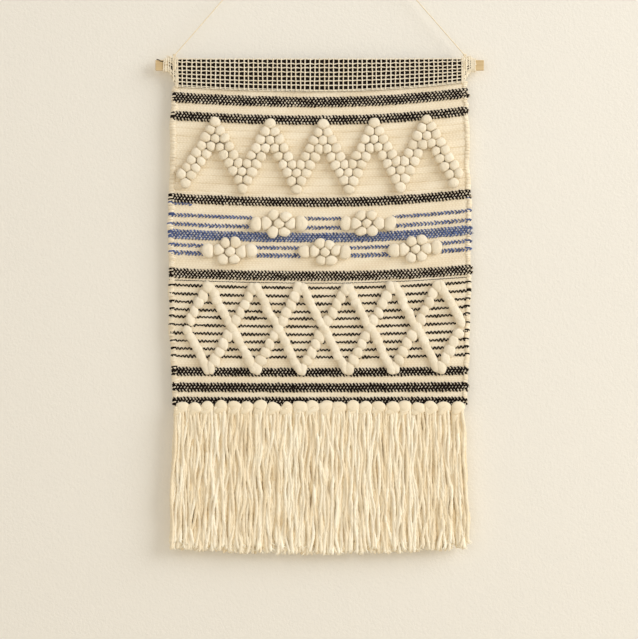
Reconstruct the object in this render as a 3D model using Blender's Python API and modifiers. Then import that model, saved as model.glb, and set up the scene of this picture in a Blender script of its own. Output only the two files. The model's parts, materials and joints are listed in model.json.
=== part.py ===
"""A woven wall hanging on a wooden slat: net header, banded cloth with raised yarn relief, and a fringe.

Metres, +Z up. The cloth faces -Y and the wall is behind it, at +Y. The origin is the hanging point,
the inside of the bend where the hanger cord lies over its nail.
"""

import math

import bmesh
import bpy

GAP = 0.0003  # between pieces that touch

# Slat and hanger
SLAT_LENGTH = 0.494
SLAT_HEIGHT = 0.0155
SLAT_THICKNESS = 0.005
SLAT_DROP = 0.2545  # hanging point to the slat's top edge
SLAT_EDGE = 0.0008  # rounding of the slat's edges
CORD_DIAMETER = 0.0018
CORD_POINTS = 79
NAIL_BEND = 0.004  # radius of the cord's bend over the nail
KNOT_RADIUS = 0.0032
LASH_OFFSET = 0.0030  # net's side edge to the middle of the lashing
LASH_DIAMETER = 0.0020

# Header pocket
BACKING_THICKNESS = 0.0008
NET_THICKNESS = 0.0012
POCKET_HEIGHT = 0.0495  # top fold of the net to the pocket's hem
NET_INSET = 0.0055  # how much narrower than the cloth the net is, at each side
BACKING_INSET = 0.0020  # net's side edge to the backing's
GATHER_LENGTH = 0.0195
GATHER_THICKNESS = 0.0012

# Woven cloth
CLOTH_WIDTH = 0.442
CLOTH_THICKNESS = 0.004
CLOTH_BULGE = 0.0065  # how far each side edge bows out half way down
RISE_LEFT = 0.0075  # how far the hem line is drawn up at the two top corners
RISE_RIGHT = 0.0142
ROLL_RADIUS = 0.003  # rolled side edges
BAND_THICKNESS = 0.0015
SEGMENTS = 16  # steps across the width

# Heights down the cloth, from the pocket's hem: what a stretch is, and how tall
STRETCHES = (
    ("hem", 0.009),
    ("black_band_1", 0.0145),
    ("cream", 0.0135),
    ("black_band_2", 0.013),
    ("zigzag_ground", 0.1105),
    ("black_band_3", 0.0127),
    ("blue_ground", 0.0978),
    ("black_band_4", 0.0135),
    ("lattice_ground", 0.132),
    ("black_band_5", 0.0122),
    ("cream", 0.0105),
    ("black_band_6", 0.013),
    ("cream", 0.0081),
    ("black_band_7", 0.0125),
)
BLUE_BAND_DROP = 0.0410  # top of the blue ground to the wide blue band
BLUE_BAND_HEIGHT = 0.0125

# Zigzag of bobbles
ZIGZAG_COUNT = 5
BOBBLE_COLUMN = 0.01335  # spacing of bobbles in a row
BOBBLE_ROW = 0.0121  # spacing of the rows
BOBBLE_RADIUS = 0.0063
ZIGZAG_DEPTH = 0.0115
ZIGZAG_TOP = 0.0005  # top of the ground to the middle of the top bobble
ZIGZAG_HALF_COLUMNS = 3  # columns from a peak to the valley
ZIGZAG_ROWS = 8
ZIGZAG_SHIFT = 0.0033  # the zigzag sits this far to the right of the middle

# Clusters of bobbles on the blue ground: place across, and drop to the middle
CLUSTERS = (
    (-0.0615, 0.0265),
    (0.0712, 0.0265),
    (-0.1343, 0.0690),
    (0.0075, 0.0690),
    (0.1440, 0.0690),
)
CLUSTER_WIDTH = 0.080
CLUSTER_HEIGHT = 0.036
CLUSTER_DEPTH = 0.012

# Lattice of thick roving
LATTICE_COUNT = 6
LATTICE_PITCH = 0.0692
LATTICE_HEIGHT = 0.1305  # between the middles of its top and bottom crossings
LATTICE_TOP = 0.0075  # top of the ground to the top crossings
LATTICE_SHIFT = 0.0066  # the weaver set the lattice this far to the right of the middle
ROVING_WIDTH = 0.0142
ROVING_DEPTH = 0.011

# Fringe
TASSEL_COUNT = 22
TASSEL_PITCH = 0.01975
TASSEL_WIDTH = 0.0190
TASSEL_DEPTH = 0.0082
TASSEL_LENGTH = 0.2260
TASSEL_HEAD = 0.0165  # height of the knotted head
TASSEL_NECK = 0.80  # share of the width at the neck under the head
HEAD_LAP = 0.0055  # how far the heads reach up over the last band
TASSEL_SIDES = 10

# Worked out from the values above
SLAT_TOP = -SLAT_DROP
SLAT_BOTTOM = SLAT_TOP - SLAT_HEIGHT
BACKING_OUT = SLAT_THICKNESS / 2 + GAP + BACKING_THICKNESS
NET_OUT = BACKING_OUT + GAP + NET_THICKNESS
NET_TOP = SLAT_TOP + 2 * GAP + BACKING_THICKNESS + NET_THICKNESS
HEM_Z = NET_TOP - POCKET_HEIGHT
NET_EDGE = CLOTH_WIDTH / 2 - NET_INSET
LASH_X = NET_EDGE + LASH_OFFSET
GATHER_OUT = SLAT_THICKNESS / 2 + GAP + GATHER_THICKNESS
LASH_GROWTH = GAP + GATHER_THICKNESS + GAP + LASH_DIAMETER  # slat's face to the lashing's outside
KNOT_Z = SLAT_TOP + LASH_GROWTH + GAP + KNOT_RADIUS
CLOTH_LENGTH = sum(height for _, height in STRETCHES)
CLOTH_FRONT = -CLOTH_THICKNESS / 2
ROLL_Y = CLOTH_FRONT + ROLL_RADIUS - GAP
BAND_BACK = min(CLOTH_FRONT, ROLL_Y - ROLL_RADIUS) - GAP
BAND_FRONT = BAND_BACK - BAND_THICKNESS
RELIEF_BACK = BAND_FRONT - GAP
TASSEL_Y = BAND_FRONT - GAP - TASSEL_DEPTH / 2


def new_part(name, data, material, location=(0, 0, 0), rotation=(0, 0, 0)):
    """Links a named object to the part's collection and gives it its material."""
    part = bpy.data.objects.new(name, data)
    part.location = location
    part.rotation_euler = rotation
    data.materials.append(material)
    collection.objects.link(part)
    return part


def finish_mesh(mesh, name):
    """The bmesh as mesh data, smooth but for its sharp edges."""
    bmesh.ops.recalc_face_normals(mesh, faces=mesh.faces)
    data = bpy.data.meshes.new(name)
    mesh.to_mesh(data)
    mesh.free()
    data.shade_smooth()
    data.set_sharp_from_angle(angle=math.radians(40))
    return data


def material_of(name, colour, roughness):
    material = bpy.data.materials.new(name)
    material.use_nodes = True
    shader = material.node_tree.nodes["Principled BSDF"]
    shader.inputs["Base Color"].default_value = (*colour, 1)
    shader.inputs["Roughness"].default_value = roughness
    shader.inputs["Metallic"].default_value = 0
    material.diffuse_color = (*colour, 1)
    return material


def half_width(drop):
    """Half the cloth's width, this far below the pocket's hem."""
    share = min(max(drop / CLOTH_LENGTH, 0), 1)
    return CLOTH_WIDTH / 2 + CLOTH_BULGE * math.sin(math.pi * share)


def rise(x, drop):
    """How far the weave is drawn up here: most at the top corners, none at the fold and the lower edge."""
    along = min(drop / CLOTH_LENGTH, 1)
    share = 1 - along * along if drop > 0 else 1 + max(drop, -POCKET_HEIGHT) / POCKET_HEIGHT
    corner = RISE_RIGHT if x > 0 else RISE_LEFT
    return corner * share * min(abs(x) / (CLOTH_WIDTH / 2), 1.1) ** 2


def hung(x, drop):
    """Height of a point of the cloth that lies this far across and below the pocket's hem."""
    return HEM_Z - drop + rise(x, drop)


def top_of(stretch):
    """Drop from the pocket's hem to the top of a stretch, and the stretch's height."""
    drop = 0
    for name, height in STRETCHES:
        if name == stretch:
            return drop, height
        drop += height
    raise KeyError(stretch)


def sheet(name, top, bottom, front, thickness, inset, rows, material):
    """A sheet that follows the cloth between two drops, inset from its side edges."""
    mesh = bmesh.new()
    bmesh.ops.create_grid(mesh, x_segments=SEGMENTS, y_segments=rows, size=0.5)
    for vertex in mesh.verts:
        drop = top + (0.5 - vertex.co.y) * (bottom - top)
        x = 2 * vertex.co.x * (half_width(drop) - inset)
        vertex.co = (x, front, hung(x, drop))
    return thicken(finish_mesh(mesh, name), name, thickness, material)


def thicken(data, name, thickness, material):
    """Gives an open sheet its thickness, away from its front face."""
    part = new_part(name, data, material)
    solidify = part.modifiers.new("thickness", "SOLIDIFY")
    solidify.thickness = thickness
    solidify.offset = -1 if data.polygons[0].normal.y < 0 else 1
    return part


def pocket_layer(name, out, thickness, inset, material):
    """A layer that goes up the front of the slat, over its top edge and down its back."""
    radius = out - thickness / 2 - SLAT_THICKNESS / 2
    wrap = []
    for side, start in ((-1, math.pi), (1, math.pi / 2)):
        for step in range(4):
            angle = start - math.pi / 2 * step / 3
            y = side * SLAT_THICKNESS / 2 + radius * math.cos(angle)
            wrap.append((y, SLAT_TOP + radius * math.sin(angle)))
    mesh = bmesh.new()
    bmesh.ops.create_grid(mesh, x_segments=SEGMENTS, y_segments=len(wrap) + 1, size=0.5)
    for vertex in mesh.verts:
        row = round((vertex.co.y + 0.5) * (len(wrap) + 1))
        x = 2 * vertex.co.x * (half_width(0) - inset)
        y, z = wrap[min(max(row - 1, 0), len(wrap) - 1)]
        if row in (0, len(wrap) + 1):
            z = hung(x, -GAP)
        vertex.co = (x, y, z)
    part = new_part(name, finish_mesh(mesh, name), material)
    solidify = part.modifiers.new("thickness", "SOLIDIFY")
    solidify.thickness = thickness
    solidify.offset = 0


def extruded(name, outlines, front, back, material, x, z):
    """A flat outline, or an outline with a hole, that stands in front of the cloth from back to front."""
    curve = bpy.data.curves.new(name, "CURVE")
    curve.dimensions = "2D"
    curve.fill_mode = "BOTH"
    curve.extrude = (back - front) / 2
    for outline in outlines:
        spline = curve.splines.new("POLY")
        spline.points.add(len(outline) - 1)
        for point, (across, up) in zip(spline.points, outline):
            point.co = (across, up, 0, 1)
        spline.use_cyclic_u = True
    return new_part(name, curve, material, (x, (front + back) / 2, z), (math.pi / 2, 0, 0))


def tube(name, points, radius, material, cyclic=False):
    """A round cord or roll through these points, with closed ends."""
    curve = bpy.data.curves.new(name, "CURVE")
    curve.dimensions = "3D"
    curve.bevel_depth = radius
    curve.bevel_resolution = 2
    curve.use_fill_caps = True
    spline = curve.splines.new("POLY")
    spline.points.add(len(points) - 1)
    for point, place in zip(spline.points, points):
        point.co = (*place, 1)
    spline.use_cyclic_u = cyclic
    return new_part(name, curve, material)


def rounded_loop(x, half_depth, top, bottom, radius, steps=4):
    """A closed path round the slat at this place along it, with round corners."""
    points = []
    corners = ((1, 1), (-1, 1), (-1, -1), (1, -1))
    for number, (side, up) in enumerate(corners):
        y = side * (half_depth - radius)
        z = (top - radius) if up > 0 else (bottom + radius)
        for step in range(steps + 1):
            angle = math.pi / 2 * (number + step / steps)
            points.append((x, y + radius * math.cos(angle), z + radius * math.sin(angle)))
    return points


def make_slat():
    mesh = bmesh.new()
    bmesh.ops.create_cube(mesh, size=1)
    bmesh.ops.scale(mesh, vec=(SLAT_LENGTH, SLAT_THICKNESS, SLAT_HEIGHT), verts=mesh.verts)
    part = new_part("slat", finish_mesh(mesh, "slat"), wood, (0, 0, (SLAT_TOP + SLAT_BOTTOM) / 2))
    bevel = part.modifiers.new("edge", "BEVEL")
    bevel.width = SLAT_EDGE
    bevel.segments = 2


def make_hanger():
    """One length of cord from lashing to lashing, over the nail, and the knot at each end."""
    slope = math.atan2(-KNOT_Z, LASH_X)
    turn = NAIL_BEND + CORD_DIAMETER / 2
    reach = KNOT_RADIUS + GAP
    middle_z = -NAIL_BEND
    touch = (turn * math.sin(slope), middle_z + turn * math.cos(slope))
    end = (LASH_X - reach * math.cos(slope), KNOT_Z + reach * math.sin(slope))
    bend_steps = 4
    leg_steps = (CORD_POINTS - 1) // 2 - bend_steps
    half = []
    for step in range(bend_steps):
        angle = slope * step / bend_steps
        half.append((turn * math.sin(angle), 0, middle_z + turn * math.cos(angle)))
    for step in range(leg_steps + 1):
        share = step / leg_steps
        x = touch[0] + (end[0] - touch[0]) * share
        half.append((x, 0, touch[1] + (end[1] - touch[1]) * share))
    left = [(-x, y, z) for x, y, z in reversed(half[1:])]
    tube("hanger_cord", left + half, CORD_DIAMETER / 2, string)
    for side, name in ((-1, "left"), (1, "right")):
        mesh = bmesh.new()
        bmesh.ops.create_uvsphere(mesh, u_segments=12, v_segments=8, radius=KNOT_RADIUS)
        data = finish_mesh(mesh, "knot")
        new_part(f"hanger_knot_{name}", data, string, (side * LASH_X, 0, KNOT_Z))


def make_lashings():
    """A turn of cord round the slat and the gathered net at each end."""
    radius = LASH_DIAMETER / 2
    growth = LASH_GROWTH - radius
    out = SLAT_THICKNESS / 2 + growth
    top = SLAT_TOP + growth
    bottom = SLAT_BOTTOM - growth
    for side, name in ((-1, "left"), (1, "right")):
        path = rounded_loop(side * LASH_X, out, top, bottom, 2 * radius)
        tube(f"lashing_{name}", path, radius, string, cyclic=True)


def make_gathers():
    """The net's ends, drawn together round the slat."""
    inner = NET_EDGE + GAP
    for side, name in ((-1, "left"), (1, "right")):
        mesh = bmesh.new()
        bmesh.ops.create_cone(
            mesh, cap_ends=False, segments=20, radius1=1, radius2=1, depth=1
        )
        middle = GATHER_OUT - GATHER_THICKNESS / 2
        tall = SLAT_HEIGHT / 2 + middle - SLAT_THICKNESS / 2
        path = rounded_loop(0, middle, tall, -tall, middle / 2)
        for vertex in mesh.verts:
            place = round(math.atan2(vertex.co.y, vertex.co.x) / (2 * math.pi) * len(path))
            _, y, z = path[place % len(path)]
            x = side * (inner + (vertex.co.z + 0.5) * GATHER_LENGTH)
            vertex.co = (x, y, z + (SLAT_TOP + SLAT_BOTTOM) / 2)
        part = new_part(f"net_gather_{name}", finish_mesh(mesh, "gather"), net)
        solidify = part.modifiers.new("thickness", "SOLIDIFY")
        solidify.thickness = GATHER_THICKNESS
        solidify.offset = 0


def make_header():
    pocket_layer("header_backing", BACKING_OUT, BACKING_THICKNESS, NET_INSET + BACKING_INSET, black)
    pocket_layer("header_net", NET_OUT, NET_THICKNESS, NET_INSET, net)


def make_cloth():
    """The woven cloth, its rolled side edges and the bands of black and blue yarn on its face."""
    inset = 2 * ROLL_RADIUS + GAP
    sheet("panel_cloth", GAP, CLOTH_LENGTH, CLOTH_FRONT, CLOTH_THICKNESS, inset, 12, cream)
    for side, name in ((-1, "left"), (1, "right")):
        points = []
        for step in range(25):
            drop = GAP + (CLOTH_LENGTH - 2 * GAP) * step / 24
            x = side * (half_width(drop) - ROLL_RADIUS)
            points.append((x, ROLL_Y, hung(x, drop)))
        tube(f"rolled_edge_{name}", points, ROLL_RADIUS, cream)
    for stretch, _ in STRETCHES:
        if stretch.startswith("black"):
            top, height = top_of(stretch)
            sheet(stretch, top, top + height, BAND_FRONT, BAND_THICKNESS, 0, 1, black)
    top = top_of("blue_ground")[0] + BLUE_BAND_DROP
    sheet("blue_band", top, top + BLUE_BAND_HEIGHT, BAND_FRONT, BAND_THICKNESS, 0, 1, blue)


def make_zigzag():
    """Each peak of the zigzag, two bobbles wide, up to the middle of the valleys beside it."""
    valley = ZIGZAG_HALF_COLUMNS * BOBBLE_COLUMN
    top = top_of("zigzag_ground")[0] + ZIGZAG_TOP
    reach = 1.1 * BOBBLE_RADIUS
    foot = -ZIGZAG_ROWS * BOBBLE_ROW
    right = [
        (valley - GAP / 2, foot + 2 * BOBBLE_ROW + reach),
        (valley - GAP / 2, foot - reach),
        (valley / ZIGZAG_HALF_COLUMNS * 2, foot - reach / 2),
    ]
    left = [(-x, z) for x, z in reversed(right)]
    outline = [(0, reach), *right, (0, -2 * BOBBLE_ROW - reach), *left]
    for number in range(ZIGZAG_COUNT):
        x = ZIGZAG_SHIFT + (number - (ZIGZAG_COUNT - 1) / 2) * 2 * valley
        front = RELIEF_BACK - ZIGZAG_DEPTH
        z = hung(x, top)
        extruded(f"bobble_zigzag_{number + 1}", [outline], front, RELIEF_BACK, roving, x, z)


def make_clusters():
    ground = top_of("blue_ground")[0]
    for number, (x, drop) in enumerate(CLUSTERS):
        mesh = bmesh.new()
        bmesh.ops.create_uvsphere(mesh, u_segments=14, v_segments=8, radius=0.5)
        size = (CLUSTER_WIDTH, CLUSTER_DEPTH, CLUSTER_HEIGHT)
        bmesh.ops.scale(mesh, vec=size, verts=mesh.verts)
        place = (x, RELIEF_BACK - CLUSTER_DEPTH / 2, hung(x, ground + drop))
        data = finish_mesh(mesh, "cluster")
        new_part(f"bobble_cluster_{number + 1}", data, roving, place)


def make_lattice():
    """Diamonds of thick roving, side by side, that meet at their side corners."""
    top = top_of("lattice_ground")[0] + LATTICE_TOP
    wide = LATTICE_PITCH / 2
    tall = LATTICE_HEIGHT / 2
    slope = math.hypot(wide, tall)
    out_x = ROVING_WIDTH / 2 * slope / tall
    out_z = ROVING_WIDTH / 2 * slope / wide
    cut = wide - GAP / 2
    cut_z = (tall + out_z) * (1 - cut / (wide + out_x))
    tip = (tall + out_z) * 0.88
    tip_x = (wide + out_x) * 0.12
    quarter = [(tip_x, tip), (cut, cut_z)]
    outer = [*quarter, *[(x, -z) for x, z in reversed(quarter)]]
    outer += [(-x, z) for x, z in reversed(outer)]
    inner = [(0, tall - out_z), (wide - out_x, 0), (0, out_z - tall), (out_x - wide, 0)]
    for number in range(LATTICE_COUNT):
        x = LATTICE_SHIFT + (number - (LATTICE_COUNT - 1) / 2) * LATTICE_PITCH
        front = RELIEF_BACK - ROVING_DEPTH
        z = hung(x, top + tall)
        name = f"lattice_diamond_{number + 1}"
        extruded(name, [outer, inner], front, RELIEF_BACK, roving, x, z)


def tassel_mesh():
    """A round head, a neck and a skirt of strands, as a turned profile pressed flat."""
    half = TASSEL_WIDTH / 2
    profile = (
        (0, 0),
        (half * 0.72, -TASSEL_HEAD * 0.10),
        (half * 0.98, -TASSEL_HEAD * 0.45),
        (half * TASSEL_NECK, -TASSEL_HEAD),
        (half, -TASSEL_LENGTH * 0.3),
        (half, -TASSEL_LENGTH),
        (0, -TASSEL_LENGTH),
    )
    mesh = bmesh.new()
    points = [mesh.verts.new((x, 0, z)) for x, z in profile]
    for first, second in zip(points, points[1:]):
        mesh.edges.new((first, second))
    data = bpy.data.meshes.new("tassel_profile")
    mesh.to_mesh(data)
    mesh.free()
    turned = bpy.data.objects.new("tassel_profile", data)
    collection.objects.link(turned)
    screw = turned.modifiers.new("turn", "SCREW")
    screw.steps = TASSEL_SIDES
    screw.render_steps = TASSEL_SIDES
    screw.use_merge_vertices = True
    screw.merge_threshold = 0.0001
    bpy.context.view_layer.update()
    graph = bpy.context.evaluated_depsgraph_get()
    made = bpy.data.meshes.new_from_object(turned.evaluated_get(graph))
    bpy.data.objects.remove(turned)
    mesh = bmesh.new()
    mesh.from_mesh(made)
    bmesh.ops.remove_doubles(mesh, verts=mesh.verts, dist=0.00001)
    bmesh.ops.scale(mesh, vec=(1, TASSEL_DEPTH / TASSEL_WIDTH, 1), verts=mesh.verts)
    return finish_mesh(mesh, "tassel")


def make_fringe():
    data = tassel_mesh()
    for number in range(TASSEL_COUNT):
        x = (number - (TASSEL_COUNT - 1) / 2) * TASSEL_PITCH
        place = (x, TASSEL_Y, HEM_Z - CLOTH_LENGTH + HEAD_LAP)
        new_part(f"tassel_{number + 1:02d}", data, roving, place)


for old in list(bpy.data.objects):
    bpy.data.objects.remove(old)
collection = bpy.data.collections.new("tapestry_wall_hanging")
bpy.context.scene.collection.children.link(collection)
wood = material_of("slat_wood", (0.58, 0.42, 0.20), 0.6)
string = material_of("hanger_string", (0.78, 0.66, 0.45), 0.85)
net = material_of("net_thread", (0.80, 0.71, 0.54), 0.9)
cream = material_of("cream_wool", (0.76, 0.66, 0.48), 0.95)
roving = material_of("soft_roving", (0.82, 0.74, 0.58), 0.95)
black = material_of("black_wool", (0.03, 0.024, 0.02), 0.9)
blue = material_of("blue_wool", (0.10, 0.15, 0.33), 0.9)

make_slat()
make_hanger()
make_lashings()
make_gathers()
make_header()
make_cloth()
make_zigzag()
make_clusters()
make_lattice()
make_fringe()
bpy.context.view_layer.update()
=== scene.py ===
# %% [markdown]
# # A tapestry wall hanging, thread by thread
#
# The frame that this script loads is a set of plain solids that already have the right size, the right
# place and the right hinges. Here each soft solid is replaced by the yarn it stands for: the net is made
# of threads, the dark bands of slanting stitches, the relief of soft roving and the fringe of strands.

# %% Load the frame
import json
import math

import bpy
import numpy as np
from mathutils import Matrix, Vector

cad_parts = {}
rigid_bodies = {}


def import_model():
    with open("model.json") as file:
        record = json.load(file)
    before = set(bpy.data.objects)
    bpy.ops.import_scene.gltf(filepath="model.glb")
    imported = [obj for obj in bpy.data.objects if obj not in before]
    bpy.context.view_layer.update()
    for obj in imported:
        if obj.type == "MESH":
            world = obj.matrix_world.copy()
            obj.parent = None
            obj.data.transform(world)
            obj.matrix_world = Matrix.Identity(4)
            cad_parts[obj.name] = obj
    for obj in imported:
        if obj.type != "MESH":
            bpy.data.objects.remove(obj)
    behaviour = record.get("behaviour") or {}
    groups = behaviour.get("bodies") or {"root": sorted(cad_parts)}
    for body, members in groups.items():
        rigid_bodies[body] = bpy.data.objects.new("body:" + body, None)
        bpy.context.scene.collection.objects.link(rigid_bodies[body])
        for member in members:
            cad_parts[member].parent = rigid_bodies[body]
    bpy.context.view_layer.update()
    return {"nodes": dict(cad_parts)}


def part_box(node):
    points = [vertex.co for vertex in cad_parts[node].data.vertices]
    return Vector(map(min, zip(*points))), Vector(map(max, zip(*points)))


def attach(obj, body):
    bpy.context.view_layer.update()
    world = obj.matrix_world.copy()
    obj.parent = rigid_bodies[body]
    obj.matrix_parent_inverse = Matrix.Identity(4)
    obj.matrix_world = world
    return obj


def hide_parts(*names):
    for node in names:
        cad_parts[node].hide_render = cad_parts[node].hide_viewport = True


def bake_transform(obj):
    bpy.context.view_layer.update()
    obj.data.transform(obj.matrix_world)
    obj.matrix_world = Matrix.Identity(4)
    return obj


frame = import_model()

# %% [markdown]
# ## Where everything hangs
#
# The origin is the nail. Everything else is found from the solids: the slat gives the header's place, and
# the cloth hangs from the pocket's hem. A woven cloth is easiest to describe flat, by how far across and
# how far below the hem a point lies. One function then hangs it: it draws the two top corners up a little,
# because the string pulls there, and lets the sides bow out. Every stitch goes through that function, so
# the bands, the bobbles and the ground all keep to the same curve.

# %% The flat cloth and how it hangs
slat_low, slat_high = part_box("slat")
net_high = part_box("header_net")[1]
knot_low, knot_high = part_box("hanger_knot_right")
fringe_low, fringe_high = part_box("tassel_01")

CLOTH_WIDTH = 0.442
CLOTH_BULGE = 0.0065
RISE_LEFT = 0.0075
RISE_RIGHT = 0.0142
STRETCHES = (
    ("hem", 0.009),
    ("black_band_1", 0.0145),
    ("cream_1", 0.0135),
    ("black_band_2", 0.013),
    ("zigzag_ground", 0.1105),
    ("black_band_3", 0.0127),
    ("blue_ground", 0.0978),
    ("black_band_4", 0.0135),
    ("lattice_ground", 0.132),
    ("black_band_5", 0.0122),
    ("cream_2", 0.0105),
    ("black_band_6", 0.013),
    ("cream_3", 0.0081),
    ("black_band_7", 0.0125),
)
CLOTH_LENGTH = sum(height for _, height in STRETCHES)
HEM_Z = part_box("panel_cloth")[0].z + CLOTH_LENGTH
POCKET = net_high.z - HEM_Z
TOP_OF = {}
HEIGHT_OF = dict(STRETCHES)
reached = 0.0
for stretch, height in STRETCHES:
    TOP_OF[stretch] = reached
    reached += height


def half_width(drop):
    share = np.clip(np.asarray(drop) / CLOTH_LENGTH, 0, 1)
    return CLOTH_WIDTH / 2 + CLOTH_BULGE * np.sin(math.pi * share)


def hung(x, drop):
    """Height of the cloth at this place across and this far below the pocket's hem."""
    x = np.asarray(x, float)
    drop = np.asarray(drop, float)
    below = 1 - np.minimum(drop / CLOTH_LENGTH, 1) ** 2
    above = 1 + np.maximum(drop, -POCKET) / POCKET
    share = np.where(drop > 0, below, above)
    corner = np.where(x > 0, RISE_RIGHT, RISE_LEFT)
    return HEM_Z - drop + corner * share * np.minimum(np.abs(x) / (CLOTH_WIDTH / 2), 1.1) ** 2


rng = np.random.default_rng(20)


def uneven(amount, *shape):
    """Random differences of about this size, as hands leave them."""
    return amount * rng.normal(size=shape)


def xyz(x, y, z):
    """Points from their three coordinates, which may be arrays of unlike shapes."""
    return np.stack(np.broadcast_arrays(x, y, z), -1)


print("the cloth is", round(CLOTH_LENGTH, 4), "long below a pocket of", round(POCKET, 4))

# %% [markdown]
# ## The camera
#
# The hanging is looked at straight on, from far enough away that it shows no perspective. The string goes
# on above the view to its nail. The camera therefore stands level with a point a little above the middle
# of the cloth, and takes in a square a bit less than a metre wide.

# %% Camera
VIEW_WIDTH = 0.9600
VIEW_CENTRE = (-0.0010, 0, -0.6446)
CAMERA_DISTANCE = 2.9
camera_data = bpy.data.cameras.new("camera")
camera = bpy.data.objects.new("camera", camera_data)
bpy.context.scene.collection.objects.link(camera)
bpy.context.scene.camera = camera
camera.location = Vector(VIEW_CENTRE) + Vector((0, -CAMERA_DISTANCE, 0))
camera.rotation_euler = (math.pi / 2, 0, 0)
camera_data.sensor_fit = "HORIZONTAL"
camera_data.lens = camera_data.sensor_width * CAMERA_DISTANCE / VIEW_WIDTH
camera_data.clip_start = 0.05
print("lens", round(camera_data.lens, 1), "mm")

# %% [markdown]
# ## Sums on sockets
#
# Materials are easier to read as arithmetic. This class wraps one socket of a node tree: adding,
# multiplying or subtracting wrapped sockets adds the Math nodes. Colours go through a Mix node, since a
# Math node would turn them grey. Every other node comes from the one method `node`.


# %% The socket class
class Wire:
    """One output socket, usable in arithmetic."""

    def __init__(self, tree, socket=None):
        self.tree = tree
        self.socket = socket

    def node(self, kind, settings=None, inputs=None, out=0):
        """Adds a node: its settings first, then the values or links of its sockets. Returns one output."""
        made = self.tree.nodes.new(kind)
        for name, value in (settings or {}).items():
            if name == "stops":
                while len(made.color_ramp.elements) < len(value):
                    made.color_ramp.elements.new(0.5)
                for element, (place, colour) in zip(made.color_ramp.elements, value):
                    element.position = place
                    element.color = (*colour, 1)
            else:
                setattr(made, name, value)
        for name, value in (inputs or {}).items():
            if isinstance(value, Wire):
                self.tree.links.new(value.socket, made.inputs[name])
            else:
                made.inputs[name].default_value = value
        return Wire(self.tree, made.outputs[out])

    def math(self, operation, *values):
        return self.node("ShaderNodeMath", {"operation": operation}, dict(enumerate(values)))

    def __add__(self, other):
        return self.math("ADD", self, other)

    def __radd__(self, other):
        return self.math("ADD", other, self)

    def __sub__(self, other):
        return self.math("SUBTRACT", self, other)

    def __rsub__(self, other):
        return self.math("SUBTRACT", other, self)

    def __mul__(self, other):
        return self.math("MULTIPLY", self, other)

    def __rmul__(self, other):
        return self.math("MULTIPLY", other, self)

    def __truediv__(self, other):
        return self.math("DIVIDE", self, other)

    def __rtruediv__(self, other):
        return self.math("DIVIDE", other, self)

    def clamped(self):
        return self.node("ShaderNodeClamp", None, {"Value": self})


def mixed(factor, first, second):
    """A colour between two others, by a value from 0 to 1."""
    inputs = {0: factor.clamped(), 6: first, 7: second}
    return factor.node("ShaderNodeMix", {"data_type": "RGBA"}, inputs, out=2)


def stretched(tree, scale):
    """The piece's own coordinates, drawn out by a scale along each axis."""
    place = Wire(tree).node("ShaderNodeTexCoord", out=3)
    settings = {"operation": "MULTIPLY"}
    return place.node("ShaderNodeVectorMath", settings, {0: place, 1: scale})


def noise(place, scale, detail, roughness):
    inputs = {"Vector": place, "Scale": scale, "Detail": detail, "Roughness": roughness}
    return place.node("ShaderNodeTexNoise", None, inputs)


def read(tree, name):
    """A value that the mesh carries at each point."""
    return Wire(tree).node("ShaderNodeAttribute", {"attribute_name": name}, out=2)


def new_material(name):
    material = bpy.data.materials.new(name)
    material.use_nodes = True
    shader = material.node_tree.nodes["Principled BSDF"]
    return material, material.node_tree, shader


def linear(red, green, blue):
    """A colour given in the 0 to 255 steps of a paint chart, as the linear values a shader takes."""
    found = []
    for value in (red, green, blue):
        share = value / 255
        found.append(share / 12.92 if share <= 0.04045 else ((share + 0.055) / 1.055) ** 2.4)
    return tuple(found)


print("socket class ready")

# %% [markdown]
# ## Yarn finishes
#
# All the yarns are matt and slightly fuzzy. What tells them apart is their colour, how much it varies from
# strand to strand, and the scale of the fibres. Each point of a mesh carries a `tone` from 0 to 1, set when
# its strand is made, so neighbouring strands differ as real ones do; in the ground cloth and the fringe the
# tone also carries painted light and shade. Fine noise adds the fibres, as a little colour and as a bump; a
# sheen on the shader gives the soft edge that wool has against the light.


# %% Yarn
def yarn(name, dark, light, fibre=900.0, depth=0.0002, sheen=0.25):
    """A woollen finish between two colours, with fibres at this scale (per metre) and depth (metres)."""
    material, tree, shader = new_material(name)
    place = stretched(tree, (1, 1, 1))
    fibres = noise(place, fibre, 4.0, 0.6)
    cloudy = noise(place, 40.0, 2.0, 0.5)
    tone = read(tree, "tone")
    share = tone * 0.62 + fibres * 0.30 + cloudy * 0.34 - 0.16
    colour = mixed(share, (*dark, 1), (*light, 1))
    tree.links.new(colour.socket, shader.inputs["Base Color"])
    rough = 0.92 + (fibres - 0.5) * 0.12
    tree.links.new(rough.clamped().socket, shader.inputs["Roughness"])
    bump_inputs = {"Strength": 0.7, "Distance": depth, "Height": fibres}
    bump = fibres.node("ShaderNodeBump", None, bump_inputs)
    tree.links.new(bump.socket, shader.inputs["Normal"])
    shader.inputs["Sheen Weight"].default_value = sheen
    shader.inputs["Sheen Roughness"].default_value = 0.5
    shader.inputs["Specular IOR Level"].default_value = 0.15
    return material


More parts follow.
